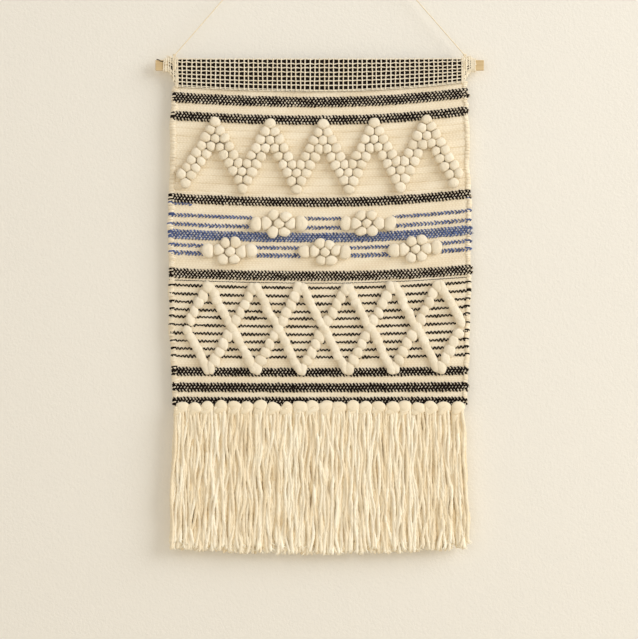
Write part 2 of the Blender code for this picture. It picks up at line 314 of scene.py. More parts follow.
CREAM = yarn("cream_wool", linear(224, 205, 171), linear(255, 246, 225))
ROVING = yarn("soft_roving", linear(222, 206, 174), linear(252, 242, 221), fibre=420.0, depth=0.0018)
STRAND = yarn("fringe_yarn", linear(224, 200, 156), linear(255, 248, 228), fibre=800.0)
THREAD = yarn("net_thread", linear(216, 198, 164), linear(252, 243, 222), fibre=1500.0, depth=0.0001)
STRING = yarn("hanger_string", linear(226, 209, 176), linear(252, 241, 216), fibre=1800.0, depth=0.0001)
BLACK = yarn("black_wool", linear(8, 4, 2), linear(40, 29, 20), fibre=1300.0, sheen=0.02)
BLUE = yarn("blue_wool", linear(54, 66, 104), linear(112, 130, 180), fibre=1300.0, sheen=0.05)
FLECK = yarn("fleck_wool", linear(190, 176, 150), linear(240, 230, 210), fibre=1300.0)
PALE_FLECK = yarn("pale_fleck_wool", linear(140, 142, 150), linear(216, 212, 204), fibre=1300.0)
print("yarn finishes:", [m.name for m in (CREAM, ROVING, STRAND, THREAD, STRING, BLACK, BLUE, FLECK)])

# %% [markdown]
# ## Sweeping many strands at once
#
# A wall hanging has thousands of strands, and a curve object for each would be slow and hard to keep in
# order. All the strands of a piece are swept here in one go instead: a path for each strand, a radius for
# each point of it, and a round, flat or plied section. Ends are closed, so each strand is a solid of its
# own. The strands are gathered in a `Skein`, which lays each one in its own cell of one UV map and makes
# one mesh of them all.


# %% Sweeps and skeins
def unit(vectors):
    return vectors / np.maximum(np.linalg.norm(vectors, axis=-1, keepdims=True), 1e-12)


def run_of(lines):
    """How far along its line each point lies."""
    steps = np.linalg.norm(np.diff(lines, axis=-2), axis=-1)
    return np.concatenate([np.zeros_like(steps[..., :1]), np.cumsum(steps, -1)], -1)


# A distance that presses on nothing, and how sharply a pad gives way where it meets another.
FAR = 9.0
FIRM = 9
PAD_SIDES = 28


class Skein:
    """Strands and pads gathered into one mesh."""

    def __init__(self):
        self.points, self.tones, self.count = [], [], 0
        self.quads, self.quad_uv, self.quad_paint = [], [], []
        self.fans, self.fan_uv, self.fan_paint = [], [], []
        self.cells = 0

    def _keep(self, points, tones):
        self.points.append(points.reshape(-1, 3))
        self.tones.append(np.broadcast_to(tones, points.shape[:-1]).reshape(-1))
        start = self.count
        self.count += self.points[-1].shape[0]
        return start

    def grids(self, points, tones, paint=0):
        """n tubes of points (n, rows, columns, 3), closed round and capped with a fan at each end."""
        n, rows, columns = points.shape[:3]
        start = self._keep(points, tones)
        row, column = np.meshgrid(np.arange(rows - 1), np.arange(columns), indexing="ij")
        after = (column + 1) % columns
        corner = [row * columns + column, row * columns + after]
        corner += [(row + 1) * columns + after, (row + 1) * columns + column]
        quad = np.stack([c.ravel() for c in corner], 1)
        firsts = start + np.arange(n)[:, None] * rows * columns
        self.quads.append((quad[None] + firsts[..., None]).reshape(-1, 4))
        u = np.stack([column, column + 1, column + 1, column], -1).reshape(-1, 4) / columns
        v = np.stack([row, row, row + 1, row + 1], -1).reshape(-1, 4) / (rows - 1)
        cell = self.cells + np.arange(n)[:, None, None]
        self.quad_uv.append(xyz(u[None], v[None], cell).reshape(-1, 4, 3))
        paint = np.broadcast_to(np.asarray(paint).reshape(-1, 1), (n, len(quad)))
        self.quad_paint.append(paint.reshape(-1))
        ring = np.arange(columns)
        for end, turn in ((0, 1), (rows - 1, -1)):
            tone = np.broadcast_to(tones, points.shape[:-1])[:, end].mean(1)
            hub = self._keep(points[:, end].mean(1), tone) + np.arange(n)[:, None]
            first = firsts + end * columns + ring
            second = firsts + end * columns + (ring + 1) % columns
            self.fans.append(xyz(hub, *(second, first)[::turn]).reshape(-1, 3))
            edge = (0.002 if end == 0 else 0.998) + np.array([0.02 * turn, 0, 0])
            across = (ring[:, None] + (0, 0, 1)) / columns
            self.fan_uv.append(xyz(across[None], edge, cell).reshape(-1, 3, 3))
            self.fan_paint.append(np.broadcast_to(paint[:, :1], (n, columns)).reshape(-1))
        self.cells += n

    def slab(self, front, back, tones):
        """A closed thin cloth between two faces, each (rows down, points across, 3)."""
        around = np.concatenate([front, back[::-1]], 0).transpose(1, 0, 2)
        self.grids(around[None], np.asarray(tones, float))

    def sweep(self, paths, radii, tones=0.5, sides=8, ref=(0, 1, 0), flat=1.0, lobes=0, lobe=0.12,
              twist=0.0, paint=0):
        """Strands along paths (n, points, 3); lobes of this depth twist round them like plies."""
        paths = np.asarray(paths, float).reshape(-1, *np.shape(paths)[-2:])
        radii = np.broadcast_to(radii, paths.shape[:-1])
        along = unit(np.gradient(paths, axis=1))
        ref = np.broadcast_to(np.asarray(ref, float), paths.shape)
        side = unit(np.cross(along, ref))
        up = np.cross(side, along)
        length = run_of(paths)
        angle = 2 * math.pi * np.arange(sides) / sides
        radius = radii[..., None] * np.ones(sides)
        if lobes:
            radius = radius * (1 - lobe + lobe * np.cos(lobes * (angle - twist * length[..., None])))
        points = paths[:, :, None]
        points = points + (radius * np.cos(angle))[..., None] * side[:, :, None]
        points = points + flat * (radius * np.sin(angle))[..., None] * up[:, :, None]
        tones = np.asarray(tones, float)
        while tones.ndim < 3:
            tones = tones[..., None]
        self.grids(points, tones, paint)

    def pads(self, centres, sizes, tilts, tones, rings=11, square=0.62, lumps=0.03,
             packed=True, crease=0.97):
        """n soft pads with lumps of their own; packed ones are pressed flat where they meet a neighbour."""
        n = len(centres)
        sizes = np.broadcast_to(sizes, (n, 3))
        polar = np.linspace(0.10, math.pi - 0.10, rings)
        turn = 2 * math.pi * np.arange(PAD_SIDES) / PAD_SIDES
        polar, turn = np.meshgrid(polar, turn, indexing="ij")
        ball = xyz(np.sin(polar) * np.cos(turn), -np.cos(polar), np.sin(polar) * np.sin(turn))
        fuller = np.sin(polar) ** square / np.maximum(np.sin(polar), 1e-6)
        soft = xyz(ball[..., 0] * fuller, ball[..., 1], ball[..., 2] * fuller)
        centres = np.asarray(centres, float)
        tilts = np.broadcast_to(tilts, n)
        if packed:
            # How far each pad reaches each way: its own rim, or halfway to the pad beside it.
            way = turn[0] + tilts[:, None]
            rim = (np.cos(turn[0]) / sizes[:, :1]) ** 2 + (np.sin(turn[0]) / sizes[:, 2:]) ** 2
            rim = rim ** -0.5
            apart = centres[None, :, ::2] - centres[:, None, ::2]
            distance = np.linalg.norm(apart, axis=-1) + np.eye(n) * FAR
            bearing = np.arctan2(apart[..., 1], apart[..., 0])
            facing = np.clip(np.cos(way[:, None] - bearing[..., None]), 1e-3, 1)
            halfway = crease * distance[..., None] / 2 / facing
            reach = (rim ** -FIRM + (halfway ** -FIRM).sum(1)) ** (-1 / FIRM)
            press = (reach / rim)[:, None]
            soft = soft[None] * xyz(press, 1, press)
        else:
            soft = np.broadcast_to(soft, (n, *soft.shape))
        waves = uneven(1.9, n, 5, 3)
        phases = rng.uniform(0, 2 * math.pi, (n, 5))
        bulge = np.sin(np.einsum("nkc,rsc->nkrs", waves, ball) + phases[:, :, None, None]).sum(1)
        points = soft * (1 + lumps * bulge[..., None]) * sizes[:, None, None]
        cosine, sine = np.cos(tilts)[:, None, None], np.sin(tilts)[:, None, None]
        x = points[..., 0] * cosine - points[..., 2] * sine
        z = points[..., 0] * sine + points[..., 2] * cosine
        points = xyz(x, points[..., 1], z) + centres[:, None, None]
        tones = np.broadcast_to(np.asarray(tones, float), n)[:, None, None]
        self.grids(points[:, :, ::-1], tones)

    def mesh(self, name, materials):
        """One mesh of everything gathered, with its UV map and tones."""
        data = bpy.data.meshes.new(name)
        points = np.concatenate(self.points)
        quads = np.concatenate(self.quads)
        fans = np.concatenate(self.fans)
        data.vertices.add(len(points))
        data.vertices.foreach_set("co", points.astype(np.float32).ravel())
        corners = np.concatenate([quads.ravel(), fans.ravel()])
        data.loops.add(len(corners))
        data.loops.foreach_set("vertex_index", corners.astype(np.int32))
        data.polygons.add(len(quads) + len(fans))
        starts = np.concatenate([np.arange(len(quads)) * 4, quads.size + np.arange(len(fans)) * 3])
        data.polygons.foreach_set("loop_start", starts.astype(np.int32))
        paint = np.concatenate(self.quad_paint + self.fan_paint)
        data.polygons.foreach_set("material_index", paint.astype(np.int32))
        uv = np.concatenate([x.reshape(-1, 3) for x in self.quad_uv + self.fan_uv])
        across = math.ceil(math.sqrt(self.cells))
        inner = 0.02 + 0.96 * np.clip(uv[:, :2], 0, 1)
        cell = np.stack([uv[:, 2] % across, uv[:, 2] // across], 1)
        layer = data.uv_layers.new(name="OFBake")
        layer.uv.foreach_set("vector", ((inner + cell) / across).astype(np.float32).ravel())
        tone = data.attributes.new("tone", "FLOAT", "POINT")
        tone.data.foreach_set("value", np.concatenate(self.tones).astype(np.float32))
        data.update(calc_edges=True)
        data.validate()
        data.shade_smooth()
        for material in materials:
            data.materials.append(material)
        return data


made_pieces = {}


def hang(name, skein, materials, nodes=(), body=None, blend=None):
    """Makes the skein a piece that rides on a body, or, given a blend, keeps its place and rides on none; it
    stands for CAD nodes.
    """
    made = bpy.data.objects.new(name, skein.mesh(name, materials))
    bpy.context.scene.collection.objects.link(made)
    if blend:
        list(blend)
        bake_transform(made)
    else:
        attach(made, body)
    if nodes:
        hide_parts(*nodes)
    made_pieces[name] = made
    print(name, len(made.data.polygons), "faces")
    return made


def wobble(shape, amount, waves=3, first=1, fade=1.0):
    """Smooth random drift along the last axis, for hand-laid yarn."""
    n, points = shape
    along = np.linspace(0, 1, points)
    found = np.zeros(shape)
    for wave in range(first, first + waves):
        size = rng.normal(size=(n, 1)) * (first / wave) ** fade
        found += size * np.sin(2 * math.pi * (wave * along[None] + rng.uniform(size=(n, 1))))
    return amount * found


def drifting(line, amount, waves=3, first=1, fade=1.0):
    """The drift of one strand, at each point of its line."""
    return wobble((1, len(line)), amount, waves, first, fade)[0]


def rounded(wave, power):
    """A sine or cosine drawn out towards a square with rounded corners."""
    return np.sign(wave) * np.abs(wave) ** power


print("sweeps ready")

# %% [markdown]
# ## The string, its knots and its lashings
#
# The string is one length of three plies twisted together, from the left knot over the nail to the right
# one, and it is taut: its legs are straight. Modelling it as one smooth tube would lose the twist that
# shows as soon as the eye comes close, so the three plies are three sweeps round one centre line. At each
# end it is tied off in a small knot on the slat's edge and wound round the slat.

# %% String
CORD_RADIUS = 0.0009
NAIL_BEND = 0.004
KNOT_RADIUS = (knot_high.x - knot_low.x) / 2
KNOT = ((knot_high.x + knot_low.x) / 2, (knot_high.z + knot_low.z) / 2)
PLY_PITCH = 0.0058
PLIES = 3


def cord_route():
    """Centre line of the string, from the left knot to the right one."""
    slope = math.atan2(-KNOT[1], KNOT[0])
    turn = NAIL_BEND + CORD_RADIUS
    start = (turn * math.sin(slope), -NAIL_BEND + turn * math.cos(slope))
    end = (KNOT[0] - 0.6 * KNOT_RADIUS * math.cos(slope), KNOT[1] + 0.6 * KNOT_RADIUS * math.sin(slope))
    angles = slope * np.arange(12) / 12
    bend = np.stack([turn * np.sin(angles), -NAIL_BEND + turn * np.cos(angles)], 1)
    share = np.linspace(0, 1, 60)[:, None]
    leg = np.array(start) + share * (np.array(end) - np.array(start))
    half = np.concatenate([bend, leg])
    whole = np.concatenate([half[:0:-1] * (-1, 1), half])
    return xyz(whole[:, 0], 0, whole[:, 1])


def evenly(line, step):
    """The same line with points this far apart."""
    run = run_of(line)
    places = np.linspace(0, run[-1], max(int(run[-1] / step), 2))
    return np.stack([np.interp(places, run, line[:, k]) for k in range(3)], 1)


def plied(skein, line, radius, pitch, tone=0.5):
    """Three twisted plies round a centre line."""
    line = evenly(line, pitch / 9)
    along = unit(np.gradient(line, axis=0))
    ref = np.array([0.0, 1.0, 0.0]) if np.abs(along[:, 1]).mean() < 0.5 else np.array([1.0, 0.0, 0.0])
    side = unit(np.cross(along, ref))
    up = np.cross(side, along)
    run = run_of(line)
    paths = []
    for ply in range(PLIES):
        angle = 2 * math.pi * (run / pitch + ply / PLIES)
        paths.append(line + 0.5 * radius * (np.cos(angle)[:, None] * side + np.sin(angle)[:, None] * up))
    tones = tone + rng.uniform(-0.2, 0.2, PLIES)
    skein.sweep(paths, 0.56 * radius, tones, 6, ref=ref)


cord = Skein()
cord_line = cord_route()
plied(cord, cord_line, 0.88 * CORD_RADIUS, PLY_PITCH)
hang("hanger_cord_plied", cord, [STRING], ["hanger_cord"], body="hanger")
print("string", round(float(run_of(cord_line)[-1]), 3), "metres between the knots")

# %% [markdown]
# A knot is one closed trefoil of the same string, drawn tight, with a short tail hanging from it. The
# lashing is three turns of a thinner string, which lie round the slat's rectangular section.

# %% Knots and lashings
for side, word in ((-1, "left"), (1, "right")):
    knot = Skein()
    turn = np.linspace(0, 2 * math.pi, 73)
    size = KNOT_RADIUS * 0.33
    crown = np.cos(turn) - 2 * np.cos(2 * turn)
    trefoil = xyz(np.sin(turn) + 2 * np.sin(2 * turn), -1.3 * np.sin(3 * turn), crown) * size * 0.62
    place = np.array([side * KNOT[0], 0, KNOT[1]])
    plied(knot, trefoil + place, 0.0011, 0.005)
    tail = np.array([[0, 0, 0], [0.4, -0.6, -1.2], [0.9, -1.0, -2.6], [1.1, -0.9, -4.0]]) * 0.0016
    plied(knot, tail * (side, 1, 1) + place, 0.0008, 0.004)
    hang(f"string_knot_{word}", knot, [STRING], [f"hanger_knot_{word}"], body="header")

    lashing = Skein()
    low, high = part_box(f"lashing_{word}")
    turns = 3
    angle = np.linspace(0.3, 2 * math.pi * turns + 0.6, 40 * turns)
    half_y = (high.y - low.y) / 2 - 0.0011
    half_z = (high.z - low.z) / 2 - 0.0010
    x = (low.x + high.x) / 2 + (angle / angle[-1] - 0.5) * 0.0052
    z = (low.z + high.z) / 2 + half_z * rounded(np.sin(angle), 0.7)
    line = xyz(x, half_y * rounded(np.cos(angle), 0.7), z)
    plied(lashing, line, 0.0007, 0.004, tone=0.8)
    hang(f"lashing_{word}_turns", lashing, [STRING], [f"lashing_{word}"], body="header")

# %% [markdown]
# ## The slat
#
# The slat is a sawn strip of pale softwood. Its solid already has the right shape, with its rounded edges,
# so it keeps its mesh and only takes a finish: long grain lines along it, darker late-wood bands, and a
# faint wash of colour. The grain is stretched noise, which runs through to the sawn ends by itself.


# %% Wood
def wood_finish():
    material, tree, shader = new_material("pale_wood")
    grain = noise(stretched(tree, (4, 260, 260)), 1.0, 5.0, 0.6)
    wash = noise(stretched(tree, (14, 30, 30)), 1.0, 2.0, 0.5)
    pores = noise(stretched(tree, (60, 2200, 2200)), 1.0, 2.0, 0.7)
    share = grain * 0.8 + wash * 0.35 + pores * 0.2 - 0.2
    colour = mixed(share, (*linear(180, 148, 98), 1), (*linear(236, 214, 170), 1))
    tree.links.new(colour.socket, shader.inputs["Base Color"])
    rough = 0.5 + grain * 0.25
    tree.links.new(rough.clamped().socket, shader.inputs["Roughness"])
    height = grain * 0.6 + pores * 0.4
    bump = height.node("ShaderNodeBump", None, {"Strength": 0.5, "Distance": 0.0002, "Height": height})
    tree.links.new(bump.socket, shader.inputs["Normal"])
    shader.inputs["Specular IOR Level"].default_value = 0.3
    return material


slat = frame["nodes"]["slat"]
slat.data.materials.clear()
slat.data.materials.append(wood_finish())
print("slat", [round(v, 4) for v in slat_high - slat_low])

# %% [markdown]
# ## The header: a black pocket inside an open net
#
# The slat lies in a pocket of black cloth, and an open net of cotton thread goes over it. The holes of the
# net show the black behind, so the net has to be real threads with real holes. Upright threads go from the
# hem up the front, over the top edge and down the back; cross threads lie in rows and pass over one upright
# and under the next. Both follow one outline, found from the slat's section.


# %% The wrap round the slat
def wrap_height(out, drop_share, x):
    """Point on the pocket's outline: share -1 is the hem in front, 0 the fold, 1 the hem behind."""
    radius = out - slat_high.y
    arc = math.pi / 2 * radius
    flat = 2 * slat_high.y
    bottom = hung(x, 0.0004)
    fall = slat_high.z - bottom
    whole = fall + arc + flat / 2
    run = np.abs(drop_share) * whole
    on_flat = np.minimum(run, flat / 2)
    on_arc = np.clip((run - flat / 2) / arc, 0, 1) * math.pi / 2
    on_fall = np.maximum(run - flat / 2 - arc, 0)
    y = on_flat + radius * np.sin(on_arc)
    z = slat_high.z + radius * np.cos(on_arc) - on_fall
    return np.sign(drop_share) * y, z

# %% [markdown]
# The black pocket comes first: a closed sheet along that outline, with the slight waves of a cloth that is
# pulled over an edge. Its flat size is its width, and its way down the front, over the slat and down behind.

# %% The black pocket
NET_EDGE = net_high.x
POCKET_THICK = 0.0006
backing_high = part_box("header_backing")[1]
pocket_out = backing_high.y - 0.0004
grid_x, grid_share = np.meshgrid(np.linspace(-backing_high.x, backing_high.x, 181), np.linspace(-1, 1, 61))
wave = 0.00018 * np.sin(grid_x * 410 + 3 * grid_share) + 0.00012 * np.sin(grid_x * 1130 + 1)
faces = []
for depth in (pocket_out - POCKET_THICK / 2, pocket_out + POCKET_THICK / 2):
    y, z = wrap_height(depth, grid_share, grid_x)
    faces.append(xyz(grid_x, y * (1 + wave / pocket_out), z))
lining = Skein()
lining.slab(faces[1], faces[0], 0.5)
pocket = hang("black_pocket", lining, [BLACK], ["header_backing"], body="header")
pocket_flat = (2 * backing_high.x, 2 * (slat_high.z - HEM_Z) + 2 * slat_high.y)

# %% [markdown]
# The black cloth is woven too. A flat black would look like a hole, and the eye reads the net by the small
# lights behind it: so the pocket's face carries rows of small upright floats of black yarn.

# %% Black floats behind the net
floats = Skein()
FLOAT_PITCH = 0.0031
float_x = np.arange(-backing_high.x + 0.003, backing_high.x - 0.003, FLOAT_PITCH)
for side in (-1, 1):
    for row, share in enumerate(np.arange(0.10, 0.97, 0.052)):
        x = float_x + (row % 2) * FLOAT_PITCH / 2
        x = x + uneven(0.0002, len(x))
        along = np.linspace(-0.5, 0.5, 5)
        shares = side * (share + along[None] * 0.046 + uneven(0.002, len(x), 1))
        y, z = wrap_height(backing_high.y + 0.0001, shares, x[:, None] * np.ones(5))
        paths = xyz(x[:, None] + along * 0.0012, y, z)
        swell = 0.00075 * np.sqrt(np.clip(1 - (1.85 * along) ** 2, 0.08, 1))
        floats.sweep(paths, swell[None], rng.uniform(0, 1, len(x)), 6, ref=(1, 0, 0), flat=0.6)
hang("black_floats", floats, [BLACK], body="header")

# %% [markdown]
# At the left end one black yarn of the pocket's cloth has come out of the weave, and lies along the slat.

# %% A loose black yarn
stray = Skein()
share = np.linspace(0, 1, 14)
stray_x = slat_low.x + 0.0018 + 0.0110 * share
stray_z = slat_high.z + 0.0008 - 0.0034 * share + 0.0006 * np.sin(share * 7)
stray_y = slat_low.y - 0.0007 + 0.0022 * np.clip(0.35 - share, 0, 1)
stray.sweep(xyz(stray_x, stray_y, stray_z), 0.0006, 0.3, 6)
hang("black_yarn_end", stray, [BLACK], body="header")

# %% [markdown]
# Now the net itself. Uprights and cross threads pass over and under each other by the same small wave,
# taken half a turn apart, so they lock without cutting into one another. The two edges are doubled.

# %% The net
NET_COLUMNS = 61
NET_ROWS = 7
THREAD_HALF = 0.00112
NET_WAVE = 0.00035
NET_SURFACE = net_high.y - 0.0009
net = Skein()
column_x = np.linspace(-NET_EDGE + 0.002, NET_EDGE - 0.002, NET_COLUMNS)
column_step = column_x[1] - column_x[0]
share = np.linspace(-0.995, 0.995, 121)
FOLD_SHARE = 0.075
row_count = (np.abs(share) - FOLD_SHARE) / (1 - FOLD_SHARE) * NET_ROWS
x = column_x[:, None] + wobble((NET_COLUMNS, len(share)), 0.00030, 5)
x = x + uneven(0.0003, NET_COLUMNS, 1)
weave = np.cos(math.pi * (row_count[None] + np.arange(NET_COLUMNS)[:, None] % 2))
y, z = wrap_height(NET_SURFACE + NET_WAVE * weave, share[None], x)
net.sweep(xyz(x, y, z), THREAD_HALF, rng.uniform(0.3, 1, NET_COLUMNS), 7, ref=(1, 0, 0), flat=0.8)
for double in (-0.00128, 0.00128):
    for edge in (-1, 1):
        x = edge * (NET_EDGE - 0.0008) + double + drifting(share, 0.0003, 5)
        y, z = wrap_height(NET_SURFACE, share, x)
        net.sweep(xyz(x, y, z), THREAD_HALF, 0.7, 7, ref=(1, 0, 0), flat=0.8)
cross_x = np.linspace(-NET_EDGE, NET_EDGE, 6 * NET_COLUMNS + 1)
crossing = (cross_x - column_x[0]) / column_step * math.pi
for side in (-1, 1):
    for row in range(0 if side < 0 else 1, NET_ROWS + 2):
        place = FOLD_SHARE + (0.955 - FOLD_SHARE) * row / NET_ROWS if row <= NET_ROWS else 0.995
        shares = place + drifting(cross_x, 0.0045 if row <= NET_ROWS else 0.001, 7)
        surface = NET_SURFACE - NET_WAVE * np.cos(crossing + math.pi * (row % 2))
        y, z = wrap_height(surface, side * np.clip(shares, 0, 0.995), cross_x)
        thick = 0.00088 * (1 + 0.10 * np.sin(crossing * 2) + uneven(0.06, len(cross_x)))
        if row >= NET_ROWS:
            thick = thick * 0.8
        net.sweep(xyz(cross_x, y, z), thick, rng.uniform(0.5, 1, 1), 7, flat=0.9)
hang("net_threads", net, [THREAD], ["header_net"], body="header")

# %% [markdown]
# At each side the net runs past the black pocket and closes round the slat like the mouth of a purse. Both
# sets of threads follow one surface, which starts as the net's own outline and ends close round the slat.
# Along it run the cross threads, with cut ends turned out a little; round it go the last uprights, as
# loops that get smaller outwards. A few short ends stand up where the binding caught them. Short black
# yarns lie inside the purse, a little within its threads, so that its holes show dark.

# %% Gathered ends of the net
MIDDLE_Z = (slat_low.z + slat_high.z) / 2


def purse(side, share, along, low, high):
    """A point of the gathered net: round it by share (-1 to 1), outwards by along (0 to 1)."""
    y0, z0 = wrap_height(NET_SURFACE, share, side * NET_EDGE * np.ones_like(share))
    angle = share * math.pi * 0.96
    y1 = rounded(np.sin(angle), 0.6) * (high.y - 0.0010)
    z1 = MIDDLE_Z + rounded(np.cos(angle), 0.7) * ((high.z - low.z) / 2 - 0.0004)
    draw = np.clip(along / 0.72, 0, 1)
    draw = draw * draw * (3 - 2 * draw)
    swell = 1 + 0.28 * np.sin(math.pi * np.clip(along / 0.9, 0, 1)) * (share ** 2 < 0.5)
    inner = min(abs(low.x), abs(high.x)) - 0.003
    outer = max(abs(low.x), abs(high.x))
    x = side * (inner + (outer - inner) * along)
    z = z0 * (1 - draw) + (MIDDLE_Z + (z1 - MIDDLE_Z) * swell) * draw
    return x, y0 * (1 - draw) + y1 * draw, z


for side, word in ((-1, "left"), (1, "right")):
    gather = Skein()
    lining = Skein()
    low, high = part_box(f"net_gather_{word}")
    share = np.linspace(-0.98, 0.98, 34)[:, None] * np.ones(12)
    along = np.linspace(0, 1, 12)[None] * rng.uniform(0.52, 0.74, (34, 1))
    x, y, z = purse(side, share, along, low, high)
    paths = xyz(x, 0.90 * y, MIDDLE_Z + 0.95 * (z - MIDDLE_Z))
    lining.sweep(paths, 0.0012, rng.uniform(0, 1, 34), 5, flat=0.5)
    hang(f"pocket_gather_{word}", lining, [BLACK], body="header")
    count = 25
    share = np.linspace(-0.97, 0.97, count)[:, None] + uneven(0.022, count, 1)
    along = np.linspace(0, 1, 30)[None] * (0.86 + 0.16 * rng.uniform(size=(count, 1)))
    wandering = share + wobble((count, 30), 0.018)
    x, y, z = purse(side, np.clip(wandering, -0.995, 0.995), along, low, high)
    flare = 1 + 0.20 * np.clip((along - 0.78) / 0.22, 0, 1) ** 2
    paths = xyz(x, y * flare, MIDDLE_Z + (z - MIDDLE_Z) * flare)
    gather.sweep(paths, 0.00090, rng.uniform(0.3, 1, count), 6, flat=0.9)
    for ring, place in enumerate((0.05, 0.19, 0.34, 0.50, 0.64, 0.76, 0.85, 0.94)):
        turn = np.linspace(-0.995, 0.995, 61)
        slanted = np.clip(place + uneven(0.05) * turn + 0.015 * np.sin(turn * 5 + ring), 0, 1)
        x, y, z = purse(side, turn, slanted, low, high)
        lift = 1.0 + NET_WAVE / NET_SURFACE
        paths = xyz(x, y * lift, MIDDLE_Z + (z - MIDDLE_Z) * (lift * 1.01))
        gather.sweep(paths, 0.00092, rng.uniform(0.6, 1, 1), 6, ref=(1, 0, 0))
    for end in range(7):
        root = 0.14 + 0.09 * end + uneven(0.02)
        x, y, z = purse(side, np.full(9, rng.uniform(-0.16, 0.1)), np.full(9, root), low, high)
        rising = np.linspace(0, 1, 9)
        x = x + side * uneven(0.0030) * rising ** 2
        y = y - 0.0008 * rising
        z = z + rising * rng.uniform(0.0022, 0.0050)
        gather.sweep(xyz(x, y, z), 0.00085 * (1 - 0.3 * rising), 0.8, 6, ref=(1, 0, 0))
    nodes = [f"net_gather_{word}"]
    hang(f"net_gather_{word}_threads", gather, [THREAD], nodes, body="header")

# %% [markdown]
# ## The ground cloth
#
# The cloth under everything is weft-faced: thick cream weft packed so tightly over the warp that each row
# shows as a rib of small oval floats, set half a step from row to row like bricks. It is made as a closed
# slab whose two faces carry those floats in their height. Where the bobbles are knotted in, the rows open a
# little, which shows as broken furrows. The slab is cut under dark bands into stretches, and the top one,
# where the pocket ends, rides on no body: it stays where it is made.

# %% Ground cloth
RIB = 0.0031
FLOAT = 0.0050
HALF_THICK = 0.0013
FURROW_PITCH = 0.01155


def float_height(x, drop):
    """How far the face of the cloth stands out at this place."""
    row = drop / RIB
    across = x / FLOAT + 0.37 * np.floor(row) + 0.13 * np.sin(np.floor(row) * 2.3)
    rib = np.sin(math.pi * (row % 1))
    bead = 0.55 + 0.45 * np.cos(2 * math.pi * across)
    uneven = 0.00016 * np.sin(x * 61 + drop * 190) * np.sin(drop * 47 + 1.3)
    found = 0.00054 * rib * bead + uneven
    top = TOP_OF["zigzag_ground"]
    inside = (drop > top) & (drop < top + HEIGHT_OF["zigzag_ground"])
    furrow = np.cos(math.pi * (((drop - top) / FURROW_PITCH) % 1)) ** 24
    broken = 0.5 + 0.5 * np.sin(x * 197 + 9 * np.sin(drop * 310) + 3 * np.sin(x * 43))
    return found - np.where(inside, 0.00065 * furrow * broken, 0)


def ground_piece(name, top, bottom, blend=None):
    rows = max(int((bottom - top) / (RIB / 4)), 4)
    columns = int(CLOTH_WIDTH / (FLOAT / 4))
    drop = np.linspace(top, bottom, rows)
    share = np.linspace(-1, 1, columns)
    grid_share, grid_drop = np.meshgrid(share, drop)
    x = grid_share * (half_width(grid_drop) - 0.0020)
    z = hung(x, grid_drop)
    layers = []
    for face in (-1, 1):
        height = float_height(x + 0.0017 * (face + 1), grid_drop)
        layers.append(xyz(x, face * (HALF_THICK + height), z))
    row_tone = rng.uniform(0.42, 0.54, int(CLOTH_LENGTH / RIB) + 2)
    tone = row_tone[(grid_drop / RIB).astype(int)]
    # The tone follows the face's height: the floats' tops are painted lighter and the low places, between
    # floats and in the furrows, darker, as painted light and shade.
    height = float_height(x, grid_drop)
    tone = tone + 1200 * (height - 0.0002)
    skein = Skein()
    skein.slab(layers[0], layers[1], np.concatenate([tone, tone[::-1]], 0).T[None])
    return hang(name, skein, [CREAM], body="panel", blend=blend)


def middle_of(band):
    return TOP_OF[band] + HEIGHT_OF[band] / 2


cuts = [0.0004, middle_of("black_band_2"), middle_of("black_band_3"), middle_of("black_band_4"),
        middle_of("black_band_5"), CLOTH_LENGTH]
BEND = ("header", "panel", (0, 0, HEM_Z - 0.001), (0, 0, HEM_Z - 0.026))
for number, (top, bottom) in enumerate(zip(cuts, cuts[1:]), 1):
    ground = ground_piece(f"ground_cloth_{number}", top, bottom, BEND if number == 1 else None)
    if number == 1:
        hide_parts("panel_cloth")

# %% [markdown]
# ## Bands of slanting stitches
#
# The dark bands are rows of slanting stitches, leaning one way in one row and the other way in the next,
# so that they read as a herringbone. Between two dark stitches a thread of the cream ground comes up and
# gives a bright fleck. Each stitch is a short fat strand that dives into the cloth at both ends. The same
# function makes the blue band.

# %% Stitches
STITCH_PITCH = 0.0051
STITCH_ROW = 0.0037
STITCH_RADIUS = 0.00132
FLECK_RADIUS = 0.00112
SURFACE = 0.0026


